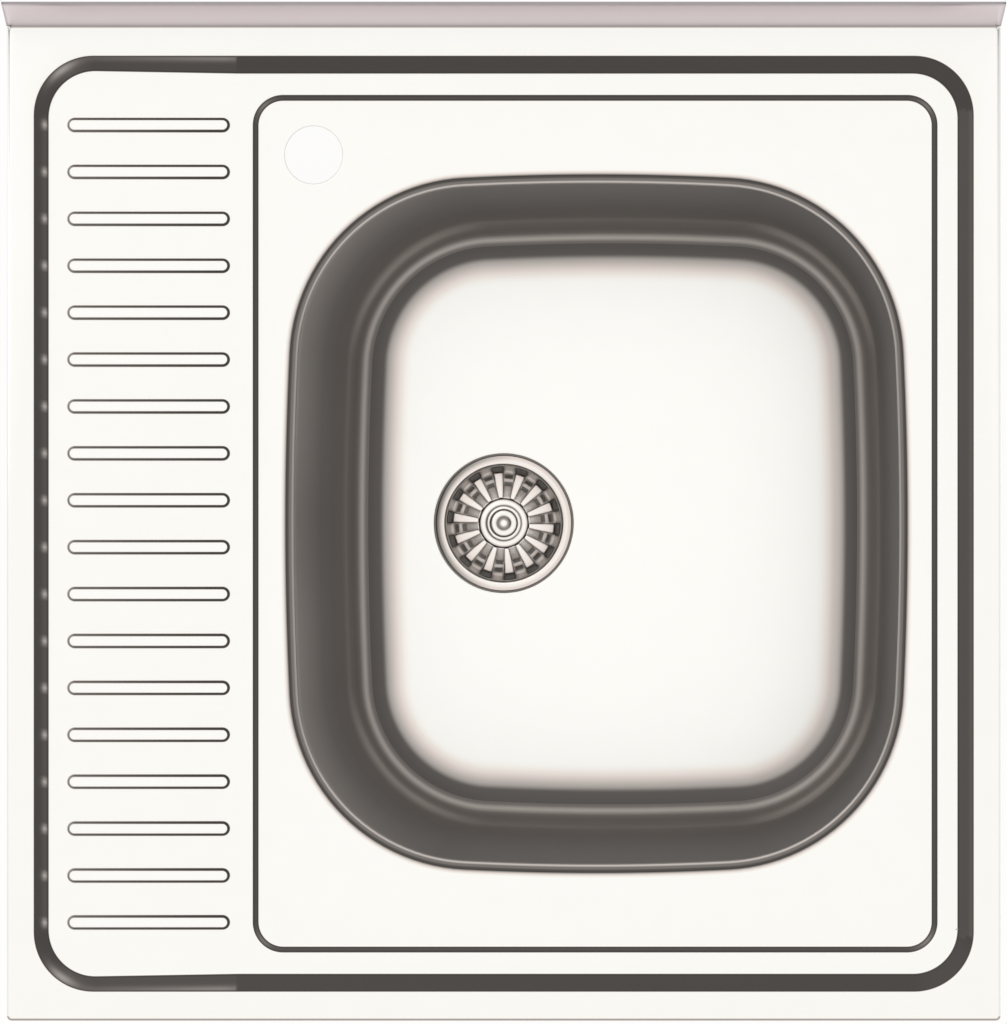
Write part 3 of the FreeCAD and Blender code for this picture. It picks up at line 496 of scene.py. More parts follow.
class Finish(Enum):
    """The finishes of the sink, each made once."""

    # The toned steels paint shade and light by the mesh's tone; a lift above 1, on the bowl's walls
    # and the basket most of all, is painted light that brightens places which would render darker.
    DECK = PaintedShadeSteel("satin_steel", lift=0.975)
    PAN = PaintedShadeSteel("bowl_floor_steel", lift=1.02)
    WALL = PaintedShadeSteel("shaded_wall_steel", 0.4, 0.3, metallic=0.5, lift=1.85)
    UPSTAND = PaintedShadeSteel("leaning_steel", tint=(0.995, 0.99, 1.04))
    BRIGHT = PaintedShadeSteel("bright_steel", 0.24, 0.55, 0.03, 0.03)
    BASKET = PaintedShadeSteel("stamped_steel", 0.35, 0.6, 0.03, 0.03, metallic=0.3, lift=1.6)
    CUP = PaintedShadeSteel("cup_steel", 0.35, 0.8, 0.03, 0.03, metallic=0.3)
    BACK = PlainMetal("unpolished_steel", (196, 195, 192), 0.42)
    ZINC = PlainMetal("zinc_plate", (186, 190, 194), 0.36, 0.16, 0.2, 260.0, (1.0, 1.0, 1.0))
    BRASS = PlainMetal("turned_brass", (206, 176, 106), 0.3, 0.1, 0.1, 200.0, (1.0, 1.0, 30.0))
    RUBBER = MouldedRubber("black_rubber", (30, 30, 31), (58, 58, 60))
    STOPPER = MouldedRubber("grey_rubber", (158, 155, 150), (186, 183, 178))
    DAMPING = DampingSheet("damping_sheet")
    PLASTIC = MouldedPlastic("white_polypropylene")
    FLOOR = StudioFloor()

    @property
    def material(self) -> bpy.types.Material:
        """The finish's material, made at its first use."""
        return bpy.data.materials.get(self.value.name) or self.value.material()


# ---------------------------------------------------------------------------
# Outlines
# ---------------------------------------------------------------------------
def arc(centre: Vector, radius: float, start: float, turn: float, steps: int) -> list[Vector]:
    """Points along a flat arc, both ends included.

    Args:
        centre: The arc's centre.
        radius: Its radius.
        start: The angle of its first point.
        turn: The angle that it turns through.
        steps: The number of chords.

    Returns:
        The points in order.
    """
    angles = [start + turn * step / steps for step in range(steps + 1)]
    return [centre + radius * Vector((math.cos(a), math.sin(a), 0.0)) for a in angles]


@dataclass(frozen=True)
class Circle:
    """A round outline about the Z axis, or about a centre."""

    radius: float
    centre: tuple = (0.0, 0.0)
    steps: int = 96

    def grown(self, amount: float) -> "Circle":
        """The same outline, wider all round."""
        return replace(self, radius=self.radius + amount)

    def loop(self) -> list[Vector]:
        """Its points, counterclockwise."""
        centre = Vector((*self.centre, 0.0))
        return arc(centre, self.radius, 0.0, math.tau, self.steps)[:-1]


@dataclass(frozen=True)
class RoundedRectangle:
    """A rectangle with round corners, and fixed stops along its sides."""

    left: float
    right: float
    front: float
    back: float
    corner: float
    stops_x: tuple = ()
    stops_y: tuple = ()
    steps: int = 18
    least_corner: float = 0.05

    def grown(self, amount: float) -> "RoundedRectangle":
        """The same outline, wider all round.

        Args:
            amount: How much wider; below 0 it is narrower.

        Returns:
            The new outline.
        """
        return replace(self, left=self.left - amount, right=self.right + amount,
                       front=self.front - amount, back=self.back + amount,
                       corner=max(self.corner + amount, self.least_corner))

    def loop(self) -> list[Vector]:
        """Lays its points, counterclockwise from the left end of the front side.

        Returns:
            The points.
        """
        near_x, far_x = self.left + self.corner, self.right - self.corner
        near_y, far_y = self.front + self.corner, self.back - self.corner
        quarter = math.pi / 2

        def bend(x: float, y: float, start: float) -> list[Vector]:
            """One corner, from its centre and the angle of its first point."""
            return arc(Vector((x, y, 0.0)), self.corner, start, quarter, self.steps)

        points = [Vector((x, self.front, 0.0)) for x in self.stops_x]
        points += bend(far_x, near_y, -quarter)
        points += [Vector((self.right, y, 0.0)) for y in self.stops_y]
        points += bend(far_x, far_y, 0.0)
        points += [Vector((x, self.back, 0.0)) for x in reversed(self.stops_x)]
        points += bend(near_x, far_y, quarter)
        points += [Vector((self.left, y, 0.0)) for y in reversed(self.stops_y)]
        points += bend(near_x, near_y, 2 * quarter)
        return points


@dataclass(frozen=True)
class BowedRectangle:
    """A rectangle with bowed sides and round corners, symmetric front to back."""

    left: float
    right: float
    half: float
    corner: float
    front_bow: float = 1550.0
    side_bow: float = 2100.0
    growth: float = 0.0
    side_steps: int = 16
    corner_steps: int = 26

    def grown(self, amount: float) -> "BowedRectangle":
        """The outline that runs parallel to this one."""
        return replace(self, growth=self.growth + amount)

    def loop(self) -> list[Vector]:
        """Lays its points, counterclockwise from the front end of the right side.

        Returns:
            The points.
        """
        middle = (self.left + self.right) / 2
        reach = (self.right - self.left) / 2
        centres = [Vector((middle + reach - self.side_bow, 0, 0)),
                   Vector((middle, self.half - self.front_bow, 0)),
                   Vector((middle - reach + self.side_bow, 0, 0)),
                   Vector((middle, self.front_bow - self.half, 0))]
        radii = [self.side_bow, self.front_bow] * 2
        corners = [self._corner(centres[k], centres[(k + 1) % 4], radii[k], radii[(k + 1) % 4])
                   for k in range(4)]
        points: list[Vector] = []
        for k in range(4):
            start = self._heading(centres[k], corners[k - 1])
            end = self._heading(centres[k], corners[k])
            turn = (end - start) % math.tau
            side = arc(centres[k], radii[k] + self.growth, start, turn, self.side_steps)
            onward = self._heading(centres[(k + 1) % 4], corners[k])
            bend = arc(corners[k], self.corner + self.growth, end, (onward - end) % math.tau,
                       self.corner_steps)
            points += side[:-1] + bend[:-1]
        return points

    def _corner(self, first: Vector, second: Vector, one: float, two: float) -> Vector:
        """The centre of the corner arc between two sides.

        Args:
            first: The centre of one side's arc.
            second: The centre of the next one's.
            one: The first arc's radius.
            two: The second arc's radius.

        Returns:
            The centre.
        """
        near, far = one - self.corner, two - self.corner
        span = second - first
        along = (near ** 2 - far ** 2 + span.length ** 2) / (2 * span.length)
        across = math.sqrt(near ** 2 - along ** 2)
        unit = span.normalized()
        return first + unit * along + Vector((-unit.y, unit.x, 0.0)) * across

    @staticmethod
    def _heading(start: Vector, end: Vector) -> float:
        """The angle from one point to another."""
        return math.atan2(end.y - start.y, end.x - start.x)


@dataclass(frozen=True)
class Stadium:
    """A long round-ended outline between two ends on the X axis."""

    left: float
    right: float
    width: float
    steps: int = 12

    def grown(self, amount: float) -> "Stadium":
        """The same outline, wider all round."""
        return replace(self, left=self.left - amount, right=self.right + amount,
                       width=self.width + 2 * amount)

    def loop(self) -> list[Vector]:
        """Lays its points, counterclockwise from the front end of the right arc.

        Returns:
            The points.
        """
        radius = self.width / 2
        right = Vector((self.right - radius, 0, 0))
        left = Vector((self.left + radius, 0, 0))
        return (arc(right, radius, -math.pi / 2, math.pi, self.steps)
                + arc(left, radius, math.pi / 2, math.pi, self.steps))


# ---------------------------------------------------------------------------
# Meshes
# ---------------------------------------------------------------------------
Ring = list[bmesh.types.BMVert]
Tone = float | Callable[[Vector], float]


class SheetMesh:
    """A mesh in millimetres whose points carry a tone of painted shade and light."""

    def __init__(self) -> None:
        """Starts an empty mesh."""
        self.bm = bmesh.new()
        self.tone = self.bm.verts.layers.float.new(Channel.TONE.value)

    def point(self, place: Vector, tone: float) -> bmesh.types.BMVert:
        """Adds one point.

        Args:
            place: Its place.
            tone: Its tone.

        Returns:
            The point.
        """
        vert = self.bm.verts.new(place)
        vert[self.tone] = tone
        return vert

    def ring(self, points: Iterable[Vector], level: "float | None", tone: Tone) -> Ring:
        """Adds a row of points.

        Args:
            points: Their places.
            level: Their height, or None to keep the height that they have.
            tone: Their tone, or a function of the place.

        Returns:
            The new points in order.
        """
        row = []
        for place in points:
            spot = Vector((place.x, place.y, place.z if level is None else level))
            row.append(self.point(spot, tone(spot) if callable(tone) else tone))
        return row

    def bridge(self, outer: Ring, inner: Ring, closed: bool = True, material: int = 0) -> None:
        """Joins two rows with faces that look up where the second lies inside the first.

        Args:
            outer: The first row, counterclockwise.
            inner: The second row.
            closed: Whether the rows close on themselves.
            material: The faces' material slot.
        """
        count = len(outer)
        for k in range(count if closed else count - 1):
            after = (k + 1) % count
            corners = [outer[k], outer[after], inner[after], inner[k]]
            distinct = list(dict.fromkeys(corners))
            if len(distinct) > 2 and self.bm.faces.get(distinct) is None:
                self.bm.faces.new(distinct).material_index = material

    def bridges(self, rows: Sequence[Ring], closed: bool = True, material: int = 0) -> None:
        """Joins each row to the next."""
        for outer, inner in zip(rows, rows[1:]):
            self.bridge(outer, inner, closed, material)

    def fill(self, rings: Iterable[Ring], down: bool = False, material: int = 0) -> None:
        """Fills the flat region between closed rows.

        Args:
            rings: The outer row and the rows round its holes.
            down: Whether the faces look down.
            material: The faces' material slot.
        """
        edges = set()
        for ring in rings:
            for k, vert in enumerate(ring):
                after = ring[(k + 1) % len(ring)]
                edges.add(self.bm.edges.get((vert, after)) or self.bm.edges.new((vert, after)))
        filled = bmesh.ops.triangle_fill(self.bm, use_beauty=True, use_dissolve=False,
                                         edges=list(edges), normal=UP)
        faces = [item for item in filled["geom"] if isinstance(item, bmesh.types.BMFace)]
        for face in faces:
            face.normal_update()
            face.material_index = material
            if (face.normal.z < 0) != down:
                face.normal_flip()

    def lathe(self, profile: Sequence[tuple], steps: int = 96, material: int = 0) -> None:
        """Turns a profile about the Z axis.

        Args:
            profile: (radius, height, tone) stations, so that the surface lies on the left
                of the way that they run, seen with the axis on the left.
            steps: The number of chords round the axis.
            material: The faces' material slot.
        """
        rows = []
        for radius, level, tone in profile:
            if radius < TINY:
                shade = tone(Vector()) if callable(tone) else tone
                rows.append([self.point(Vector((0, 0, level)), shade)] * steps)
            else:
                rows.append(self.ring(Circle(radius, steps=steps).loop(), level, tone))
        self.bridges(rows, material=material)

    def merge(self, distance: float = 0.02) -> None:
        """Merges points that lie on each other."""
        bmesh.ops.remove_doubles(self.bm, verts=self.bm.verts, dist=distance)

    def piece(self, name: str, finishes: Sequence[Finish], sheet: float = 0.0,
              sharp: float = 40.0) -> bpy.types.Object:
        """Ends the mesh as an object in metres.

        Args:
            name: The object's name.
            finishes: Its material slots.
            sheet: The thickness that it gets behind its faces, or 0.
            sharp: The angle past which an edge stays crisp, in degrees.

        Returns:
            The object.
        """
        bmesh.ops.scale(self.bm, vec=(MM, MM, MM), verts=self.bm.verts)
        mesh = bpy.data.meshes.new(name)
        self.bm.to_mesh(mesh)
        self.bm.free()
        for polygon in mesh.polygons:
            polygon.use_smooth = True
        mesh.set_sharp_from_angle(angle=math.radians(sharp))
        for finish in finishes:
            mesh.materials.append(finish.material)
        piece = bpy.data.objects.new(name, mesh)
        bpy.context.scene.collection.objects.link(piece)
        if sheet:
            wall = piece.modifiers.new("sheet", "SOLIDIFY")
            wall.thickness = sheet * MM
            wall.offset = -1.0
            wall.use_quality_normals = True
            wall.material_offset = 1
            wall.material_offset_rim = 0
        return piece


# ---------------------------------------------------------------------------
# Geometry Nodes
# ---------------------------------------------------------------------------
class RepeatTree:
    """Copies of one piece, each a fixed shift and turn about Z after the one before."""

    def __init__(self) -> None:
        """Builds the node tree."""
        tree = bpy.data.node_groups.new("repeat_piece", "GeometryNodeTree")
        self.tree = tree
        face = tree.interface
        face.new_socket("Piece", in_out="INPUT", socket_type="NodeSocketGeometry")
        self.inputs = {
            name: face.new_socket(name, in_out="INPUT", socket_type=kind).identifier
            for name, kind in (("Count", "NodeSocketInt"), ("Shift", "NodeSocketVector"),
                               ("Turn", "NodeSocketFloat"), ("Finish", "NodeSocketMaterial"))}
        face.new_socket("Pieces", in_out="OUTPUT", socket_type="NodeSocketGeometry")
        enter, leave = self._add("NodeGroupInput"), self._add("NodeGroupOutput")
        index = self._add("GeometryNodeInputIndex")
        shift = self._add("ShaderNodeVectorMath", operation="SCALE")
        turn = self._add("ShaderNodeMath", operation="MULTIPLY")
        spin = self._add("FunctionNodeAxisAngleToRotation")
        points = self._add("GeometryNodePoints")
        copies = self._add("GeometryNodeInstanceOnPoints")
        real = self._add("GeometryNodeRealizeInstances")
        dressed = self._add("GeometryNodeSetMaterial")
        spin.inputs["Axis"].default_value = UP
        for source, target in (
                (enter.outputs["Count"], points.inputs["Count"]),
                (enter.outputs["Shift"], shift.inputs[0]),
                (index.outputs[0], shift.inputs["Scale"]),
                (enter.outputs["Turn"], turn.inputs[0]), (index.outputs[0], turn.inputs[1]),
                (shift.outputs[0], points.inputs["Position"]),
                (turn.outputs[0], spin.inputs["Angle"]),
                (points.outputs[0], copies.inputs["Points"]),
                (enter.outputs["Piece"], copies.inputs["Instance"]),
                (spin.outputs[0], copies.inputs["Rotation"]),
                (copies.outputs[0], real.inputs[0]), (real.outputs[0], dressed.inputs[0]),
                (enter.outputs["Finish"], dressed.inputs["Material"]),
                (dressed.outputs[0], leave.inputs["Pieces"])):
            tree.links.new(source, target)

    def _add(self, kind: str, **settings: str) -> bpy.types.Node:
        """Adds one node.

        Args:
            kind: The node's type.
            settings: Its properties.

        Returns:
            The node.
        """
        node = self.tree.nodes.new(kind)
        for key, value in settings.items():
            setattr(node, key, value)
        return node

    def copies(self, piece: bpy.types.Object, count: int, finish: Finish,
               shift: Vector = Vector(), turn: float = 0.0) -> bpy.types.Mesh:
        """Repeats a piece and takes the result as a plain mesh.

        Args:
            piece: The first piece; it is used up.
            count: The number of pieces.
            finish: Their finish.
            shift: The way from one to the next, in millimetres.
            turn: The angle from one to the next, in radians.

        Returns:
            The mesh of all the pieces.
        """
        modifier = piece.modifiers.new("repeat", "NODES")
        modifier.node_group = self.tree
        values = {"Count": count, "Shift": shift * MM, "Turn": turn, "Finish": finish.material}
        for name, value in values.items():
            modifier[self.inputs[name]] = value
        graph = bpy.context.evaluated_depsgraph_get()
        mesh = bpy.data.meshes.new_from_object(piece.evaluated_get(graph))
        piece.modifiers.remove(modifier)
        bpy.data.objects.remove(piece)
        return mesh


# ---------------------------------------------------------------------------
# Sub-assemblies
# ---------------------------------------------------------------------------
def bell(distance: float, width: float) -> float:
    """A smooth bump of height 1 that fades over a width."""
    return math.exp(-(distance / width) ** 2)


def ramp(value: float, stops: Sequence[tuple[float, float]]) -> float:
    """Reads a value off a line through stops, level past both ends.

    Args:
        value: The position.
        stops: (position, value) pairs in rising order.

    Returns:
        The value there.
    """
    for (low, first), (high, second) in zip(stops, stops[1:]):
        if value <= high:
            share = max(0.0, (value - low) / (high - low))
            return first + (second - first) * share
    return stops[-1][1]


@dataclass(frozen=True)
class Streak:
    """Painted light that runs along a slope."""

    strength: float
    middle: float
    width: float

    def at(self, share: float) -> float:
        """What it adds to the tone at a way down the slope, from 0 to 1."""
        return self.strength * bell(share - self.middle, self.width)


BOWL_MOUTH = BowedRectangle(-131.8, 244.0, 211.0, 111.0)


@dataclass
class PressedDeck:
    """One sheet: border, groove band, ribbed drainboard, bowl zone, skirts and upstand."""

    half: float = 300.0
    height: float = 28.0
    work: float = 22.0
    zone: float = 20.0
    zone_slope: float = 3.3
    sheet: float = 0.8
    lip: float = 14.0
    bend: float = 1.6
    bend_steps: int = 4
    corner: float = 3.0
    least_corner: float = 0.2
    corner_steps: int = 6
    drain_start: float = -159.6
    drain_end: float = -273.1
    drain_rise: float = 1.1
    rib_count: int = 18
    rib_pitch: float = 28.35
    rib_slope: float = 1.2
    rib_height: float = 1.9
    upstand: float = 36.5
    lean: float = 16.5
    hem: float = 8.0
    fold: float = 0.85
    foot_gap: float = 1.8
    border_edge: float = 2.2
    border_hold: float = 0.6
    wall_columns: tuple = (296.0, 290.0, 150.0, 0.0, -150.0, -290.0, -296.0)
    band_shares: tuple = (0.03, 0.1, 0.2, 0.3, 0.42, 0.52, 0.62, 0.74, 0.86, 0.97)
    # Tones of the steel, from 0 for dark to 1 for pale: shaded and outline are painted shade on the
    # groove, front_line is painted shade on the front bend, and wall_border is painted light beside
    # the upstand.
    pale: float = 0.975
    border: float = 0.97
    wall_border: float = 1.0
    shaded: float = 0.3
    outline: float = 0.25
    outline_share: float = 0.06
    front_line: float = 0.68
    front_reach: float = 2.5
    # Painted light on the band, with painted reflections of the ribs as glints: where it lies, and
    # what it adds to the tone.
    right_start: float = 262.0
    right_half: float = 250.0
    right_wash: float = 0.04
    right_streak: Streak = Streak(0.05, 0.1, 0.16)
    glint_start: float = -265.0
    glint_width: float = 2.8
    glint: Streak = Streak(0.42, 0.74, 0.22)
    corner_wash: float = 0.06
    corner_fade: tuple = ((35, 0.0), (60, 1.0), (90, 0.27))
    corner_middle: float = 54.0
    corner_width: float = 18.0
    corner_streak: Streak = Streak(0.3, 0.28, 0.26)
    end_wash: float = 0.02
    end_fade: tuple = ((-247.6, 0.4), (-172.0, 1.0), (-162.5, 1.0), (-160.7, 0.0))
    end_streak: Streak = Streak(0.2, 0.16, 0.18)
    crease_gap: float = 0.9
    # Painted light on the step's corners, and painted light that fades the ribs' outlines at their
    # left ends.
    zone_streak: float = 0.16
    rib_fade: float = 0.3
    bowl_mouth: BowedRectangle = BOWL_MOUTH
    tap_hole: Circle = Circle(17.5, (-115.0, 223.1), 64)
    rib: Stadium = Stadium(-263.7, -165.7, 8.5)

    def __post_init__(self) -> None:
        """Sets the outlines of the band and of the bowl zone."""
        heights = [(k - (self.rib_count - 1) / 2) * self.rib_pitch for k in range(self.rib_count)]
        glints = tuple(y + step for y in heights for step in (-4.2, -2.1, 0.0, 2.1, 4.2))
        crease = self.drain_start
        stops = (-236.0, -220.0, -200.0, -184.0, -170.0, crease - 2.6, crease - 1.2, crease,
                 crease + 0.6, -120.0, -60.0, 0.0, 60.0, 120.0, 180.0, 236.0)
        self.rib_places = heights
        self.band_top = RoundedRectangle(-283.6, 283.6, -282.4, 282.4, 36.0, stops, glints, 24)
        self.band_floor = RoundedRectangle(self.drain_end, 274.3, -272.1, 272.1, 27.0, stops,
                                           glints, 24)
        self.zone_floor = RoundedRectangle(-148.4, 258.9, -255.9, 255.9, 15.0,
                                           (-60.0, 60.0, 170.0), (-120.0, 0.0, 120.0))

    def floor_level(self, x: float) -> float:
        """The height of the work floor, which rises over the drainboard."""
        share = (self.drain_start - x) / (self.drain_start - self.drain_end)
        return self.work + self.drain_rise * max(0.0, share)

    def build(self, repeat: RepeatTree) -> bpy.types.Object:
        """Makes the whole sheet.

        Args:
            repeat: The tree that lays out the ribs.

        Returns:
            The dressed object.
        """
        mesh = SheetMesh()
        rim = self._edge(mesh)
        top, floor = self._band(mesh)
        mesh.fill([rim, top])
        ribs = self._ribs(mesh, repeat)
        zone_rim, zone = self._zone_step(mesh)
        self._work_floor(mesh, floor, ribs, zone_rim)
        mouth, hole = self._mouth(mesh), self._tap_hole(mesh)
        mesh.fill([zone, mouth, hole])
        finishes = [Finish.DECK, Finish.BACK, Finish.UPSTAND, Finish.BACK]
        return mesh.piece("deck", finishes, self.sheet)

    def _edge(self, mesh: SheetMesh) -> Ring:
        """Adds lip, skirts, top bend and upstand.

        Args:
            mesh: The deck's mesh.

        Returns:
            The row that holds the border's outer edge.
        """
        flat = self.half - self.foot_gap
        # The skirt's tones are painted shade, darker towards the lip.
        stations = [(self.lip, 0.0, self.half, 0.7), (0.5, 0.0, self.half, 0.72),
                    (0.0, 0.5, self.half, 0.8), (0.0, self.height / 2, self.half, 0.93)]
        for step in range(self.bend_steps + 1):
            angle = math.pi / 2 * step / self.bend_steps
            stations.append((self.bend * (1 - math.cos(angle)),
                             self.height - self.bend * (1 - math.sin(angle)),
                             self.half - self.foot_gap * math.sin(angle),
                             self.border if step == self.bend_steps else 1.0))
        stations.append((self.border_edge, self.height, flat, self.border))
        rows = [mesh.ring(self._skirt(inset, end), level, self._skirt_tone(tone, inset))
                for inset, level, end, tone in stations]
        mesh.bridges(rows, closed=False)

        foot = self._upstand(mesh)
        last = [rows[-1][-1]]
        last += mesh.ring([Vector((x, flat, 0)) for x in self.wall_columns], self.height,
                          self.wall_border)
        last.append(rows[-1][0])
        mesh.bridges([*foot, last], closed=False)
        within = flat - self.border_hold
        inner = self._skirt(self.border_edge + self.border_hold, within)
        inner += [Vector((x, within, 0)) for x in self.wall_columns]
        # The border beside the upstand is painted a little lighter: painted light.
        hold = mesh.ring(inner, self.height, lambda spot: (
            self.wall_border if spot.y > flat - 1.0 else self.border))
        mesh.bridge(rows[-1] + last[1:-1], hold)
        return hold

    def _upstand(self, mesh: SheetMesh) -> list[Ring]:
        """Adds the leaning upstand, with its hem folded back, and its foot.

        Args:
            mesh: The deck's mesh.

        Returns:
            The upstand's lowest row and the rows of the foot's bend.
        """
        turn = math.radians(self.lean)
        up = Vector((0.0, math.sin(turn), math.cos(turn)))
        back = Vector((0.0, math.cos(turn), -math.sin(turn)))
        foot = Vector((0.0, self.half, self.height))
        wide = [self.half, *self.wall_columns, -self.half]
        along = [self.half - self.border_edge, *self.wall_columns, self.border_edge - self.half]
        fold = self.fold
        strip = []
        # The tones paint shade over the folded top and towards the foot.
        for rise, depth, tone in (
                (self.upstand - self.hem, 2 * fold, 0.7), (self.upstand - fold, 2 * fold, 0.72),
                (self.upstand - 0.4, 1.9 * fold, 0.68), (self.upstand, fold, 0.64),
                (self.upstand - 0.35, 0.12 * fold, 0.64), (self.upstand - fold, 0.0, 0.78),
                (self.upstand - 4.5, 0.0, 0.882), (self.upstand * 0.6, 0.0, 0.873),
                (12.0, 0.0, 0.86), (8.0, 0.0, 0.842), (4.8, 0.0, 0.805), (2.6, 0.0, 0.76),
                (1.4, 0.0, 0.69)):
            spot = foot + up * rise + back * depth
            strip.append(mesh.ring([Vector((x, spot.y, spot.z)) for x in wide], None, tone))
        mesh.bridges(strip, closed=False, material=2)
        # The foot's bend is painted shade.
        bend = [mesh.ring([Vector((x, self.half - inset, 0)) for x in along],
                          self.height + rise, tone)
                for inset, rise, tone in ((0.35, 0.35, 0.76), (1.0, 0.08, 0.985))]
        return [strip[-1], *bend]

    def _skirt_tone(self, tone: float, inset: float) -> Callable[[Vector], float]:
        """Paints shade on the bend along the front edge, which shows as a thin dark line from
        above.

        Args:
            tone: The row's tone elsewhere.
            inset: How far the row lies inside the outline.

        Returns:
            The tone as a function of the place.
        """
        def shade(spot: Vector) -> float:
            """The tone at a place on the skirt."""
            bent = inset < self.bend * 0.7 and spot.z > self.zone
            return self.front_line if bent and spot.y < self.front_reach - self.half else tone
        return shade

    def _skirt(self, inset: float, end: float) -> list[Vector]:
        """Lays a path down the left side, along the front and up the right side.

        Args:
            inset: How far it lies inside the outline.
            end: How far back it reaches at both ends.

        Returns:
            Its points.
        """
        reach = self.half - inset
        radius = max(self.corner - inset, self.least_corner)
        inner = reach - radius
        quarter, steps = math.pi / 2, self.corner_steps
        points = [Vector((-reach, end, 0)), Vector((-reach, 0, 0))]
        points += arc(Vector((-inner, -inner, 0)), radius, math.pi, quarter, steps)
        points += [Vector((x, -reach, 0)) for x in (-150.0, 0.0, 150.0)]
        points += arc(Vector((inner, -inner, 0)), radius, -quarter, quarter, steps)
        return points + [Vector((reach, 0, 0)), Vector((reach, end, 0))]

    def _band(self, mesh: SheetMesh) -> tuple[Ring, Ring]:
        """Adds the groove band's slope, down to the work floor.

        Args:
            mesh: The deck's mesh.

        Returns:
            The row that holds the border's inner edge, and the one on the floor.
        """
        top, low = self.band_top.loop(), self.band_floor.loop()
        drop = self.height - self.work
        reaches = [self._band_reach(first.x, second.x) for first, second in zip(top, low)]
        rows = [mesh.ring(self.band_top.grown(amount).loop(), self.height, self.border)
                for amount in (1.4, 0.25)]
        # The slope's tones come from _band_tone: painted shade, with painted light and glints.
        for share in self.band_shares:
            row = []
            for first, second, reach in zip(top, low, reaches):
                spot = first.lerp(second, share * reach)
                spot.z = self.height - drop * share * reach
                row.append(mesh.point(spot, self._band_tone(spot, share)))
            rows.append(row)
        for inset in (0.2, 1.4):
            row = []
            inner = self.band_floor.grown(-inset).loop()
            for first, second, reach, place in zip(top, low, reaches, inner):
                spot = first.lerp(second, reach) + (place - second)
                spot.z = self.floor_level(spot.x)
                row.append(mesh.point(spot, self.pale))
            rows.append(row)
        mesh.bridges(rows)
        return rows[0], rows[-1]

    def _band_reach(self, start: float, end: float) -> float:
        """Finds where the slope meets the floor, which lies higher under the drainboard.

        Args:
            start: X at the slope's top.
            end: X at its foot on the level floor.

        Returns:
            The share of the whole slope that stands above the floor.
        """
        share = 1.0
        for _ in range(4):
            level = self.floor_level(start + (end - start) * share)
            share = (self.height - level) / (self.height - self.work)
        return share

    def _band_tone(self, spot: Vector, share: float) -> float:
        """The tone of the band's slope: painted shade on the slope and its dark outlines, and
        painted light at some places.

        Args:
            spot: The place.
            share: The way down the slope, from 0 to 1.

        Returns:
            The tone.
        """
        if share < self.outline_share or share > 1 - self.outline_share:
            return self.outline
        top = self.band_top
        side_x = top.left + top.corner - spot.x
        side_y = abs(spot.y) - top.back + top.corner
        light = 0.0
        if spot.x > self.right_start and abs(spot.y) < self.right_half:
            light = self.right_wash + self.right_streak.at(share)
        elif side_y < 0 and spot.x < self.glint_start:
            light = self._glint_light(spot.y, share)
        elif side_x > 0 and side_y > 0:
            light = self._corner_light(math.degrees(math.atan2(side_y, side_x)), share)
        elif side_y > 0 and spot.x < self.drain_start - self.crease_gap:
            light = self._end_light(spot.x, share)
        return self.shaded + light

    def _glint_light(self, y: float, share: float) -> float:
        """A small round painted glint beside each rib, a painted reflection of the rib's end.

        Args:
            y: The place along the left side.
            share: The way down the slope.

        Returns:
            What it adds to the tone.
        """
        steps = y / self.rib_pitch + 0.5
        along = (steps - round(steps)) * self.rib_pitch
        return bell(along, self.glint_width) * self.glint.at(share)

    def _corner_light(self, angle: float, share: float) -> float:
        """The streak of painted light round each corner of the drainboard.

        Args:
            angle: The angle round the corner, from its side to its end, in degrees.
            share: The way down the slope.

        Returns:
            What it adds to the tone.
        """
        around = bell(angle - self.corner_middle, self.corner_width)
        onward = ramp(angle, ((60, 0.0), (90, self.end_fade[0][1])))
        return (self.corner_wash * ramp(angle, self.corner_fade)
                + around * self.corner_streak.at(share) + onward * self.end_streak.at(share))

    def _end_light(self, x: float, share: float) -> float:
        """The streak of painted light along each end of the drainboard, which stops at the crease.

        Args:
            x: The place along the end.
            share: The way down the slope.

        Returns:
            What it adds to the tone.
        """
        fade = ramp(x, self.end_fade)
        return self.end_wash * min(1.0, 2 * fade) + fade * self.end_streak.at(share)

    def _ribs(self, mesh: SheetMesh, repeat: RepeatTree) -> list[Ring]:
        """Adds the row of ribs.

        Args:
            mesh: The deck's mesh.
            repeat: The tree that lays them out.

        Returns:
            The row of points round each rib's foot.
        """
        one, slope = SheetMesh(), self.rib_slope
        # The tones paint shade on the rib's slopes; the crest and the floor round it stay pale.
        rows = [self._rib_row(one, *station) for station in (
            (-1.2, 0.0, self.pale), (-0.4, 0.0, self.pale), (0.0, 0.0, 0.4), (0.25, 0.2, 0.3),
            (slope / 2, 0.5, 0.3), (slope - 0.1, 0.92, 0.34), (slope + 0.1, 1.0, 0.5),
            (slope + 0.4, 1.0, 0.975), (slope + 0.8, 1.0, 0.985))]
        one.bridges(rows)
        one.fill([rows[-1]])
        piece = one.piece("rib", [Finish.DECK])
        result = repeat.copies(piece, self.rib_count, Finish.DECK, Vector((0, self.rib_pitch, 0)))
        start = len(mesh.bm.verts)
        mesh.bm.from_mesh(result)
        mesh.bm.verts.ensure_lookup_table()
        added = mesh.bm.verts[start:]
        bmesh.ops.scale(mesh.bm, vec=(1 / MM,) * 3, verts=added)
        size = len(added) // self.rib_count
        loop = len(self.rib.loop())
        return [added[k * size:k * size + loop] for k in range(self.rib_count)]

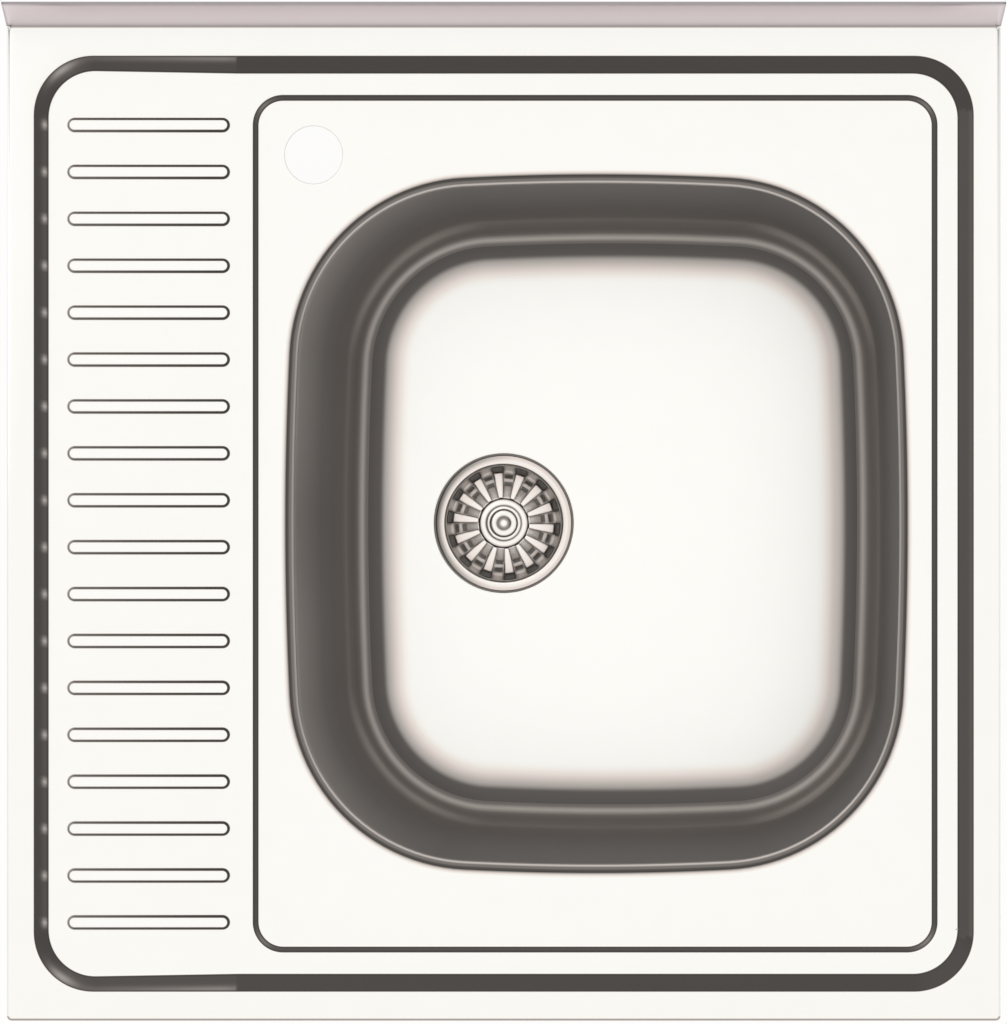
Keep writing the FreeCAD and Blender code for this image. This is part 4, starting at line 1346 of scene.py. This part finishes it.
    def _rib_row(self, mesh: SheetMesh, inset: float, rise: float, tone: float) -> Ring:
        """Adds one row round the first rib, whose foot follows the floor.

        Args:
            mesh: The rib's mesh.
            inset: How far the row lies inside the rib's foot.
            rise: Its height, from 0 at the floor to 1 at the crest.
            tone: Its tone.

        Returns:
            The row.
        """
        first = Vector((0, self.rib_places[0], 0))
        places = [spot + first for spot in self.rib.grown(-inset).loop()]
        crest = self.work + self.rib_height
        ring = mesh.ring(places, crest, lambda spot: self._rib_tone(spot, tone))
        for vert in ring:
            low = self.floor_level(vert.co.x)
            vert.co.z = low + (crest - low) * rise
        return ring

    def _rib_tone(self, spot: Vector, tone: float) -> float:
        """Makes a rib's painted shade outline crisp at its right end, and paints light over it at
        its left one so that it turns faint.

        Args:
            spot: The place.
            tone: The row's tone.

        Returns:
            The tone there.
        """
        if tone > 0.9:
            return tone
        fade = bell(spot.x - self.rib.left, 5.0)
        return tone + self.rib_fade * fade - 0.03 * bell(spot.x - self.rib.right, 6.0)

    def _zone_step(self, mesh: SheetMesh) -> tuple[Ring, Ring]:
        """Adds the shallow step round the bowl.

        Args:
            mesh: The deck's mesh.

        Returns:
            Its upper and its lower holding row.
        """
        slope, drop = self.zone_slope, self.work - self.zone
        rows = []
        # The tones paint shade on the step's slope, pale above and below it.
        for grow, fall, tone in ((slope + 1.3, 0.0, self.pale), (slope + 0.2, 0.0, self.pale),
                                 (slope - 0.15, 0.06, 0.27), (slope * 0.66, 0.34, 0.31),
                                 (slope * 0.4, 0.6, 0.34), (0.15, 0.95, 0.27),
                                 (-0.2, 1.0, self.pale), (-1.3, 1.0, self.pale)):
            streaked = 0.3 < fall < 0.7
            shade = (lambda spot, base=tone: self._zone_tone(spot, base)) if streaked else tone
            rows.append(mesh.ring(self.zone_floor.grown(grow).loop(), self.work - drop * fall,
                                  shade))
        mesh.bridges(rows)
        return rows[0], rows[-1]

    def _zone_tone(self, spot: Vector, base: float) -> float:
        """Puts a streak of painted light on the step's corners.

        Args:
            spot: The place.
            base: The row's tone.

        Returns:
            The tone there.
        """
        zone = self.zone_floor
        middle = (zone.left + zone.right) / 2
        past_x = abs(spot.x - middle) - (zone.right - zone.corner - middle)
        past_y = abs(spot.y) - zone.back + zone.corner
        if past_x > 0 and past_y > 0:
            angle = math.degrees(math.atan2(past_y, past_x))
            return base + self.zone_streak * bell(angle - 45, 25)
        return base

    def _work_floor(self, mesh: SheetMesh, floor: Ring, ribs: list[Ring], zone: Ring) -> None:
        """Fills the tilted drainboard, and the level floor right of the crease.

        Args:
            mesh: The deck's mesh.
            floor: The band's row on the floor.
            ribs: The rows round the ribs.
            zone: The upper row of the step round the bowl.
        """
        marks = [k for k, vert in enumerate(floor)
                 if abs(vert.co.x - self.drain_start) < 1e-4]
        front, back = sorted(marks, key=lambda k: floor[k].co.y)
        right = floor[front:back + 1]
        left = floor[back:] + floor[:front + 1]
        mesh.fill([left, *ribs])
        mesh.fill([right, zone])

    def _mouth(self, mesh: SheetMesh) -> Ring:
        """Adds the edge of the cut-out over the bowl, with painted shade that darkens towards the
        cut edge.

        Args:
            mesh: The deck's mesh.

        Returns:
            Its holding row.
        """
        rows = [mesh.ring(self.bowl_mouth.grown(grow).loop(), self.zone - fall, tone)
                for grow, fall, tone in (
                    (6.0, 0.0, 0.98), (3.2, 0.0, 0.975), (1.8, 0.0, 0.9), (1.0, 0.0, 0.76),
                    (0.35, 0.0, 0.5), (0.0, 0.08, 0.3), (-0.08, 0.5, 0.27))]
        mesh.bridges(rows)
        return rows[0]

    def _tap_hole(self, mesh: SheetMesh) -> Ring:
        """Adds the edge of the tap hole.

        Args:
            mesh: The deck's mesh.

        Returns:
            Its holding row.
        """
        centre = Vector((*self.tap_hole.centre, 0.0))

        def faint(spot: Vector) -> float:
            """A faint outline of painted shade round the hole, darkest at the upper left."""
            side = (spot - centre).normalized()
            return 0.84 - 0.1 * max(0.0, side.y * 0.7 - side.x * 0.7)

        rows = [mesh.ring(self.tap_hole.grown(1.2).loop(), self.zone, 0.98),
                mesh.ring(self.tap_hole.grown(0.3).loop(), self.zone, 0.975),
                mesh.ring(self.tap_hole.loop(), self.zone - 0.1, faint)]
        mesh.bridges(rows)
        return rows[0]


@dataclass
class DrawnBowl:
    """The bowl: welding flange, ledge, drafted wall, rolled foot, floor and waste seat."""

    mouth: BowedRectangle = BOWL_MOUTH
    foot: BowedRectangle = BowedRectangle(-94.66, 235.31, 188.5, 88.0)
    top: float = 19.2
    floor: float = -132.0
    ledge: float = 5.0
    foot_round: float = 26.0
    seat_radius: float = 44.0
    seat_level: float = -134.0
    floor_hole: float = 38.2
    sheet: float = 0.8
    wall_shares: tuple = (0.985, 0.94, 0.86, 0.72, 0.5, 0.28, 0.1)
    # Rows of the rolled foot and of the floor inside it: reach, tone. The tones are painted shade
    # and painted highlight lines, as the roll would reflect dark and light surroundings, fading
    # into the pale floor.
    foot_tones: tuple = (
        (26.0, 0.48), (25.0, 0.44), (23.6, 0.385), (21.6, 0.35), (20.0, 0.36), (18.6, 0.405),
        (17.5, 0.49), (16.6, 0.56), (15.8, 0.6), (15.0, 0.58), (14.2, 0.49), (13.0, 0.37),
        (11.6, 0.335), (9.0, 0.325), (6.6, 0.33), (4.6, 0.335), (3.8, 0.35), (2.6, 0.46),
        (1.4, 0.59), (0.2, 0.665), (-1.0, 0.72), (-2.2, 0.765), (-3.5, 0.81), (-4.7, 0.85),
        (-5.9, 0.885), (-7.1, 0.905), (-8.3, 0.92), (-9.5, 0.94), (-10.7, 0.957),
        (-12.2, 0.97), (-15.2, 0.98), (-19.0, 0.98))
    dark_reach: float = 12.0
    # Tones by the share of the wall's height, and along the rim by the distance from the middle:
    # painted shade, with painted light on the left wall and a painted highlight on the rim.
    wall_tones: tuple = ((0.1, 0.39), (0.28, 0.325), (0.5, 0.3), (0.72, 0.29), (0.94, 0.28),
                         (1.0, 0.3))
    left_light: tuple = ((0.45, 0.0), (0.72, 0.07), (0.94, 0.135), (1.0, 0.185))
    right_shade: tuple = ((0.3, 0.02), (0.72, 0.035), (0.94, 0.06))
    rim_tones: tuple = (0.72, 0.6)
    rim_shade: tuple = ((100.0, 0.12), (180.0, 0.0))
    corner_light: float = 0.15

    def build(self) -> bpy.types.Object:
        """Makes the bowl as one sheet.

        Returns:
            The dressed object.
        """
        mesh = SheetMesh()
        top = self.top
        # The ledge's tones paint shade along the deck's cut edge and a painted highlight along the
        # rim.
        rows = [mesh.ring(self.mouth.grown(grow).loop(), level, tone) for grow, level, tone in (
            (8.0, top, 0.4), (0.4, top, 0.3), (-1.2, top, 0.31), (-1.9, top, 0.44),
            (-3.1, top, 0.46), (-3.8, top, self._rim_tone), (-4.4, top - 0.08, self._rim_tone),
            (-4.8, top - 0.35, self._rim_tone))]
        mesh.bridges(rows)
        upper = self.mouth.grown(-self.ledge).loop()
        lower = self.foot.loop()
        normals = [self._outward(lower, k) for k in range(len(lower))]
        wall = [self._wall_row(mesh, upper, lower, normals, share) for share in self.wall_shares]
        foot = [self._foot_row(mesh, upper, lower, normals, reach, tone)
                for reach, tone in self.foot_tones]
        # The wall and the darker part of the roll take the wall finish, whose lift paints light
        # into them.
        dark = next(k for k, (reach, _) in enumerate(self.foot_tones) if reach < self.dark_reach)
        mesh.bridges([rows[-1], *wall, *foot[:dark + 1]], material=2)
        mesh.bridges(foot[dark:])
        # The seat's tones paint shade down into the waste seat.
        seat = [mesh.ring(Circle(radius).loop(), level, tone) for radius, level, tone in (
            (46.5, self.floor, 0.98), (45.0, self.floor, 0.97), (44.3, self.floor - 0.04, 0.96),
            (self.seat_radius, self.floor - 0.4, 0.74),
            (self.seat_radius - 0.1, self.seat_level, 0.52),
            (self.floor_hole, self.seat_level, 0.45))]
        mesh.bridges(seat)
        mesh.fill([foot[-1], seat[0]])
        finishes = [Finish.PAN, Finish.BACK, Finish.WALL, Finish.BACK]
        return mesh.piece("bowl_shell", finishes, self.sheet, sharp=60.0)

    @staticmethod
    def _outward(loop: list[Vector], k: int) -> Vector:
        """The outward direction of a loop at one of its points."""
        along = loop[(k + 1) % len(loop)] - loop[k - 1]
        return Vector((along.y, -along.x, 0.0)).normalized()

    def _roll(self, upper: Vector, lower: Vector, normal: Vector) -> tuple[float, float]:
        """Measures the wall and the roll below it at one point.

        Args:
            upper: The wall's top.
            lower: Its sharp foot.
            normal: The outward direction.

        Returns:
            The wall's draft, and the roll's tangent length.
        """
        draft = math.atan2((upper - lower).dot(normal), self.top - self.floor)
        return draft, self.foot_round * math.tan((math.pi / 2 - draft) / 2)

    def _wall_row(self, mesh: SheetMesh, upper: list[Vector], lower: list[Vector],
                  normals: list[Vector], share: float) -> Ring:
        """Adds a row on the wall.

        Args:
            mesh: The bowl's mesh.
            upper: The loop at the wall's top.
            lower: The loop at its sharp foot.
            normals: The outward directions.
            share: The height between the roll and the top, from 0 to 1.

        Returns:
            The row.
        """
        row = []
        rise = self.top - self.floor
        for first, second, normal in zip(upper, lower, normals):
            draft, length = self._roll(first, second, normal)
            start = length * math.cos(draft) / rise
            height = start + (1 - start) * share
            spot = second.lerp(first, height)
            spot.z = self.floor + rise * height
            row.append(mesh.point(spot, self._wall_tone(normal, share)))
        return row

    def _foot_row(self, mesh: SheetMesh, upper: list[Vector], lower: list[Vector],
                  normals: list[Vector], reach: float, tone: float) -> Ring:
        """Adds a row on the rolled foot, or on the floor inside it.

        Args:
            mesh: The bowl's mesh.
            upper: The loop at the wall's top.
            lower: The loop at its sharp foot.
            normals: The outward directions.
            reach: The distance outside the foot's inner edge; below 0 it lies on the floor.
            tone: The row's tone.

        Returns:
            The row.
        """
        row = []
        for first, second, normal in zip(upper, lower, normals):
            draft, length = self._roll(first, second, normal)
            place = min(reach + self._tone_shift(normal, reach), self.foot_round * math.cos(draft))
            turn = math.asin(max(0.0, place / self.foot_round))
            spot = second + normal * (place - length)
            spot.z = self.floor + self.foot_round * (1 - math.cos(turn))
            # Painted light where the roll turns a corner.
            light = self.corner_light * self._cornered(normal) * bell(reach - 24.0, 2.2)
            row.append(mesh.point(spot, tone + light))
        return row

    def _tone_shift(self, normal: Vector, reach: float) -> float:
        """Moves a row outwards along the roll, so that its painted tone lies where it should.

        Args:
            normal: The outward direction.
            reach: The row's reach.

        Returns:
            The distance; it fades to nothing at the roll's top and on the floor.
        """
        right, left = max(0.0, normal.x), max(0.0, -normal.x)
        low = 1.1 + 2.2 * right - 0.3 * left
        high = 0.8 + 0.7 * right - 0.4 * left - max(0.0, normal.y)
        return ramp(reach, [(-19.0, 0.0), (-8.0, low), (4.0, low), (14.0, high), (20.0, high),
                            (self.foot_round, 0.0)])

    @staticmethod
    def _cornered(normal: Vector) -> float:
        """How far a direction points into a corner, from 0 to 1."""
        return min(1.0, 2.2 * abs(normal.x * normal.y))

    def _rim_tone(self, spot: Vector) -> float:
        """The painted highlight along the ledge's inner edge, with painted shade that dims it
        halfway along the sides.
        """
        tone = self.rim_tones[0 if spot.z > self.top - 0.3 else 1]
        return tone - ramp(abs(spot.y), self.rim_shade)

    def _wall_tone(self, normal: Vector, share: float) -> float:
        """The wall's painted tone: paler along its foot, painted light below the rim on the left,
        painted shade on the right.

        Args:
            normal: The outward direction.
            share: The height between the roll and the top.

        Returns:
            The tone.
        """
        left, right = max(0.0, -normal.x + normal.y * 0.2), max(0.0, normal.x)
        return (ramp(share, self.wall_tones) + left * ramp(share, self.left_light)
                - right * ramp(share, self.right_shade))


@dataclass
class BasketWaste:
    """What fills the floor hole: strainer cup, stamped basket and turned knob."""

    throat: float = 36.9
    flange: float = 43.0
    flange_top: float = -132.2
    throat_top: float = -133.8
    # Painted shade on the flange by its radius.
    flange_outer: tuple = ((37.6, 0.0), (39.4, 0.22), (41.8, 1.0))
    flange_inner: tuple = ((38.0, 1.0), (39.6, 0.0))
    cup_floor: float = -158.2
    cup_round: float = 1.6
    cup_tone: float = 0.92
    hole_radius: float = 4.6
    hole_circle: float = 17.0
    hole_count: int = 8
    hole_tone: float = 0.9
    screw_hole: float = 5.05
    sheet: float = 0.8
    sectors: int = 14
    turn: float = -6.45
    blade_top: float = -142.8
    valley: float = -153.8
    basket_radius: float = 36.2
    basket_rim: float = -134.2
    basket_sheet: float = 0.48
    knob_top: float = -138.6

    def cup(self) -> bpy.types.Object:
        """Makes the strainer cup with its rolled flange and drain holes.

        Returns:
            The dressed object.
        """
        mesh = SheetMesh()
        edge, low, shade = self.flange, self.flange_top, self._flange_tone
        # The flange's outer edge and the throat are painted shade; _flange_tone paints the rest of
        # the flange.
        mesh.lathe([
            (edge - 0.7, low - 1.0, 0.28), (edge - 0.2, low - 0.85, 0.25),
            (edge, low - 0.55, 0.3), (edge - 0.25, low - 0.3, shade),
            (edge - 0.8, low - 0.13, shade), (edge - 1.8, low - 0.03, shade),
            (edge - 3.0, low, shade), (edge - 4.2, low - 0.08, shade),
            (edge - 5.0, low - 0.25, shade), (edge - 5.6, low - 0.55, 0.78),
            (edge - 6.0, low - 1.0, 0.62), (self.throat, self.throat_top, 0.5)])
        inside = [mesh.ring(Circle(radius).loop(), level, self.cup_tone) for radius, level in (
            (self.throat, self.throat_top), (self.throat, self.cup_floor + self.cup_round),
            (self.throat - 0.5, self.cup_floor + 0.4), (self.throat - 1.5, self.cup_floor))]
        mesh.bridges(inside, material=2)
        mesh.merge()
        floor = inside[-1]
        holes = [mesh.ring(Circle(self.screw_hole, steps=32).loop(), self.cup_floor,
                           self.hole_tone)]
        for k in range(self.hole_count):
            angle = math.tau * k / self.hole_count
            centre = (self.hole_circle * math.cos(angle), self.hole_circle * math.sin(angle))
            hole = Circle(self.hole_radius, centre, 24)
            holes.append(mesh.ring(hole.loop(), self.cup_floor, self.hole_tone))
        mesh.fill([floor, *holes], material=2)
        finishes = [Finish.BRIGHT, Finish.BACK, Finish.CUP, Finish.BACK]
        return mesh.piece("strainer_cup_shell", finishes, self.sheet)

    def _flange_tone(self, spot: Vector) -> float:
        """Keeps the flange bright, and paints shade on its outer part, most of all on the left.

        Args:
            spot: The place.

        Returns:
            The tone there.
        """
        radius = math.hypot(spot.x, spot.y)
        left = max(0.0, (0.2 * spot.y - spot.x) / radius)
        right = max(0.0, spot.x / radius)
        outer, inner = ramp(radius, self.flange_outer), ramp(radius, self.flange_inner)
        return 0.98 - (0.42 * left + 0.12) * outer - (0.08 * right + 0.02) * inner

    def basket(self, repeat: RepeatTree) -> bpy.types.Object:
        """Makes the basket as a ring of equal sectors, each with its blade.

        Args:
            repeat: The tree that turns the first sector into the ring.

        Returns:
            The dressed object.
        """
        mesh = SheetMesh()
        for part, finish, shape in (("sector", Finish.BASKET, self._sector),
                                    ("blade", Finish.BRIGHT, self._blade)):
            one = SheetMesh()
            shape(one)
            ring = repeat.copies(one.piece(part, [finish]), self.sectors, finish,
                                 turn=math.tau / self.sectors)
            before = len(mesh.bm.faces)
            mesh.bm.from_mesh(ring)
            mesh.bm.faces.ensure_lookup_table()
            for face in mesh.bm.faces[before:]:
                face.material_index = 0 if finish is Finish.BASKET else 2
        turn = Matrix.Rotation(math.radians(self.turn), 4, "Z")
        bmesh.ops.transform(mesh.bm, verts=mesh.bm.verts, matrix=turn @ Matrix.Scale(1 / MM, 4))
        mesh.merge()
        finishes = [Finish.BASKET, Finish.BASKET, Finish.BRIGHT, Finish.BRIGHT]
        return mesh.piece("basket_shell", finishes, self.basket_sheet)

    def _sector(self, mesh: SheetMesh) -> None:
        """Adds one part of rim, dish and hub plate, open at the slots and the window.

        Args:
            mesh: The sector's mesh.
        """
        half = 180.0 / self.sectors
        columns = [-half, -10.3, -7.7, -5.4, -2.7, 0.0, 2.7, 5.4, 7.7, 10.3, half]
        # Radius, level, tone behind the blade, tone between the blades; these are painted shade
        # behind the blade and painted light between.
        stations = [
            (self.basket_radius, self.basket_rim, 0.6, 0.6),
            (self.basket_radius, self.basket_rim - 0.5, 0.5, 0.55),
            (self.basket_radius, self.blade_top + 0.4, 0.36, 0.6),
            (self.basket_radius - 0.15, self.blade_top - 0.5, 0.36, 0.78),
            (35.6, -146.0, 0.36, 0.85), (34.6, -150.6, 0.36, 0.88), (33.4, self.valley, 0.36, 0.86),
            (32.8, self.valley, 0.36, 0.78), (31.2, self.valley, 0.36, 0.62),
            (28.7, self.valley, 0.5, 0.84), (27.5, self.valley, 0.55, 0.88),
            (26.3, self.valley, 0.5, 0.8), (24.0, self.valley, 0.45, 0.74),
            (23.3, self.valley + 0.4, 0.48, 0.84), (21.8, -150.9, 0.56, 0.94),
            (19.8, -147.9, 0.66, 0.97), (17.8, -144.8, 0.72, 0.975),
            (16.6, self.blade_top - 0.2, 0.6, 0.9), (15.2, self.blade_top, 0.7, 0.9),
            (8.0, self.blade_top, 0.6, 0.6), (3.1, self.blade_top, 0.6, 0.6)]
        slots = ((31.2, 28.7), (26.3, 24.0))
        window = (32.7, 35.7)
        rows = []
        for radius, level, behind, between in stations:
            row = []
            for column in columns:
                angle = math.radians(column)
                place = Vector((radius * math.cos(angle), radius * math.sin(angle), level))
                row.append(mesh.point(place, ramp(abs(column), [(5.0, behind), (8.5, between)])))
            rows.append(row)
        for k, (outer, inner) in enumerate(zip(rows, rows[1:])):
            first, second = stations[k][0], stations[k + 1][0]
            for c, (one, two) in enumerate(zip(columns, columns[1:])):
                behind = max(abs(one), abs(two)) < 5.5
                between = min(abs(one), abs(two)) > 7.6
                if not (behind and window[0] < second and first < window[1]) and not (
                        between and (first, second) in slots):
                    mesh.bridge(outer[c:c + 2], inner[c:c + 2], closed=False)

    def _blade(self, mesh: SheetMesh) -> None:
        """Adds one raised blade with its leg down to the dish.

        Args:
            mesh: The blade's mesh.
        """
        # Across the blade: share of its half width, fall below its crest, share of its tone; that
        # share paints shade along the blade's edges.
        section = ((-1.0, 0.55, 0.4), (-0.86, 0.12, 0.85), (-0.5, 0.0, 1.0), (0.5, 0.0, 1.0),
                   (0.86, 0.12, 0.9), (1.0, 0.55, 0.5))
        top = self.blade_top
        rows = []
        # The rows paint shade down the leg, and the crest stays pale.
        for radius, level, half, tone in (
                (32.2, self.valley + 0.2, 3.1, 0.3), (32.4, top - 0.9, 3.3, 0.4),
                (32.2, top - 0.3, 3.3, 0.62), (31.6, top, 3.3, 0.86),
                (28.0, top + 0.05, 2.9, 0.9), (22.0, top + 0.1, 2.2, 0.93),
                (17.5, top + 0.1, 1.55, 0.95), (13.5, top + 0.1, 1.2, 0.9)):
            rows.append([mesh.point(Vector((radius, half * share, level - fall)), tone * shade)
                         for share, fall, shade in section])
        mesh.bridges(rows, closed=False)

    def knob(self) -> bpy.types.Object:
        """Makes the turned knob with its stepped rings and dimple.

        Returns:
            The dressed object.
        """
        mesh = SheetMesh()
        low, top = self.blade_top, self.knob_top
        # The tones paint shade in the knob's grooves and round its outer edge, and highlights on
        # its rings and crown.
        mesh.lathe([
            (0.0, low + 1.1, 0.3), (3.08, low + 1.1, 0.3), (3.08, low, 0.3), (15.6, low, 0.3),
            (15.9, low + 0.3, 0.24), (15.9, low + 0.9, 0.26), (15.6, low + 1.3, 0.3),
            (15.2, low + 1.5, 0.42), (14.6, low + 1.7, 0.86), (13.6, low + 1.95, 0.97),
            (12.1, low + 2.2, 0.95),
            (11.6, low + 2.15, 0.7), (11.3, low + 2.1, 0.56), (11.0, low + 2.3, 0.7),
            (10.6, low + 2.6, 0.95), (9.4, low + 2.9, 0.96), (8.9, low + 2.9, 0.55),
            (8.6, low + 3.0, 0.38), (8.35, low + 3.6, 0.5), (8.0, low + 3.95, 0.92),
            (6.4, top, 0.97), (5.2, top, 0.93), (4.5, top - 0.15, 0.66), (4.0, top - 0.5, 0.5),
            (3.2, top - 0.7, 0.52), (2.4, top - 0.75, 0.7), (1.6, top - 0.7, 0.95),
            (0.0, top - 0.6, 1.0)])
        return mesh.piece("knob", [Finish.BRIGHT], sharp=60.0)


@dataclass
class Underside:
    """The carried-over pieces below the deck and in the waste, with their finishes."""

    finishes: tuple = (
        (Finish.BACK, ("rear_rail", "drainboard_stiffener")),
        (Finish.ZINC, ("bracket_front_left", "bracket_front_right", "bracket_rear_left",
                       "bracket_rear_right", "bracket_screws", "earth_tag", "earth_screw",
                       "earth_nut", "clamp_screw", "basket_stem", "stem_clip")),
        (Finish.BRASS, ("clamp_insert",)),
        (Finish.RUBBER, ("flange_seal", "floor_gasket")),
        (Finish.STOPPER, ("rubber_stopper",)),
        (Finish.DAMPING, ("drainboard_pad_left", "drainboard_pad_right", "bowl_damping_pad")),
        (Finish.PLASTIC, ("waste_body",)))

    def dress(self, nodes: dict[str, bpy.types.Object]) -> None:
        """Puts each finish on its nodes' material slots.

        Args:
            nodes: The frame's nodes by name.
        """
        for finish, names in self.finishes:
            for name in names:
                for slot in nodes[name].material_slots:
                    slot.material = finish.material
                LOG.info("dressed %s with %s", name, finish.value.name)


@dataclass
class Studio:
    """Floor, soft light and the camera straight above the sink."""

    floor_level: float = -0.2035
    reach: float = 40.0
    camera_place: tuple = (-0.00015, 0.00708, 3.28)
    lens: float = 189.45
    dome_levels: tuple = ((0.0, 0.66), (0.9, 1.0))
    dome_strength: float = 1.045
    lamp_energy: float = 0.24
    lamp_spread: float = 70.0
    lamp_tilt: tuple = (-38.0, -40.0, 0.0)

    def build(self) -> None:
        """Sets up everything that isn't the sink."""
        self._floor()
        self._world()
        self._lamp()
        self._camera()
        bpy.context.scene.view_settings.view_transform = "Standard"

    @staticmethod
    def _place(name: str, data: bpy.types.ID) -> bpy.types.Object:
        """Puts new data in the scene.

        Args:
            name: The object's name.
            data: Its mesh, lamp or camera data.

        Returns:
            The object.
        """
        item = bpy.data.objects.new(name, data)
        bpy.context.scene.collection.objects.link(item)
        return item

    def _floor(self) -> None:
        """A wide pale floor."""
        mesh = bpy.data.meshes.new("floor")
        far = self.reach
        corners = [(-far, -far, 0), (far, -far, 0), (far, far, 0), (-far, far, 0)]
        mesh.from_pydata([Vector(c) + UP * self.floor_level for c in corners], [],
                         [(0, 1, 2, 3)])
        mesh.materials.append(Finish.FLOOR.material)
        self._place("floor", mesh)

    def _world(self) -> None:
        """A pale dome, brightest overhead."""
        world = bpy.data.worlds.new("studio")
        world.use_nodes = True
        tree = world.node_tree
        tree.nodes.clear()
        spot = tree.nodes.new("ShaderNodeTexCoord")
        axes = tree.nodes.new("ShaderNodeSeparateXYZ")
        fade = tree.nodes.new("ShaderNodeValToRGB")
        dome = tree.nodes.new("ShaderNodeBackground")
        out = tree.nodes.new("ShaderNodeOutputWorld")
        for element, (place, level) in zip(fade.color_ramp.elements, self.dome_levels):
            element.position = place
            element.color = (level, level, level, 1.0)
        for source, target in ((spot.outputs["Generated"], axes.inputs[0]),
                               (axes.outputs["Z"], fade.inputs["Fac"]),
                               (fade.outputs["Color"], dome.inputs["Color"]),
                               (dome.outputs[0], out.inputs["Surface"])):
            tree.links.new(source, target)
        dome.inputs["Strength"].default_value = self.dome_strength
        bpy.context.scene.world = world

    def _lamp(self) -> None:
        """One wide soft lamp from the upper left."""
        data = bpy.data.lights.new("soft_lamp", "SUN")
        data.energy = self.lamp_energy
        data.angle = math.radians(self.lamp_spread)
        lamp = self._place("soft_lamp", data)
        lamp.rotation_euler = [math.radians(angle) for angle in self.lamp_tilt]

    def _camera(self) -> None:
        """The camera, which looks straight down."""
        data = bpy.data.cameras.new("camera")
        data.lens = self.lens
        data.clip_end = 2 * self.reach
        camera = self._place("camera", data)
        camera.location = self.camera_place
        bpy.context.scene.camera = camera


def settle(piece: bpy.types.Object, body: str, nodes: Sequence[str]) -> None:
    """Puts a finished piece on its body, in place of the CAD nodes that it stands for.

    Args:
        piece: The piece.
        body: The body that it rides on.
        nodes: The nodes that it replaces.
    """
    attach(piece, body)
    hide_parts(*nodes)
    LOG.info("built %s: %d faces", piece.name, len(piece.data.polygons))


def main() -> None:
    """Builds the sink on its frame."""
    logging.basicConfig(level=logging.INFO, format="%(message)s")
    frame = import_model()
    Studio().build()
    repeat = RepeatTree()
    waste = BasketWaste()
    settle(PressedDeck().build(repeat), "root", ["deck_sheet"])
    settle(DrawnBowl().build(), "root", ["bowl"])
    settle(waste.cup(), "root", ["strainer_cup"])
    settle(waste.basket(repeat), "strainer_basket", ["basket"])
    settle(waste.knob(), "strainer_basket", ["basket_knob"])
    Underside().dress(frame["nodes"])


if __name__ == "__main__":
    main()
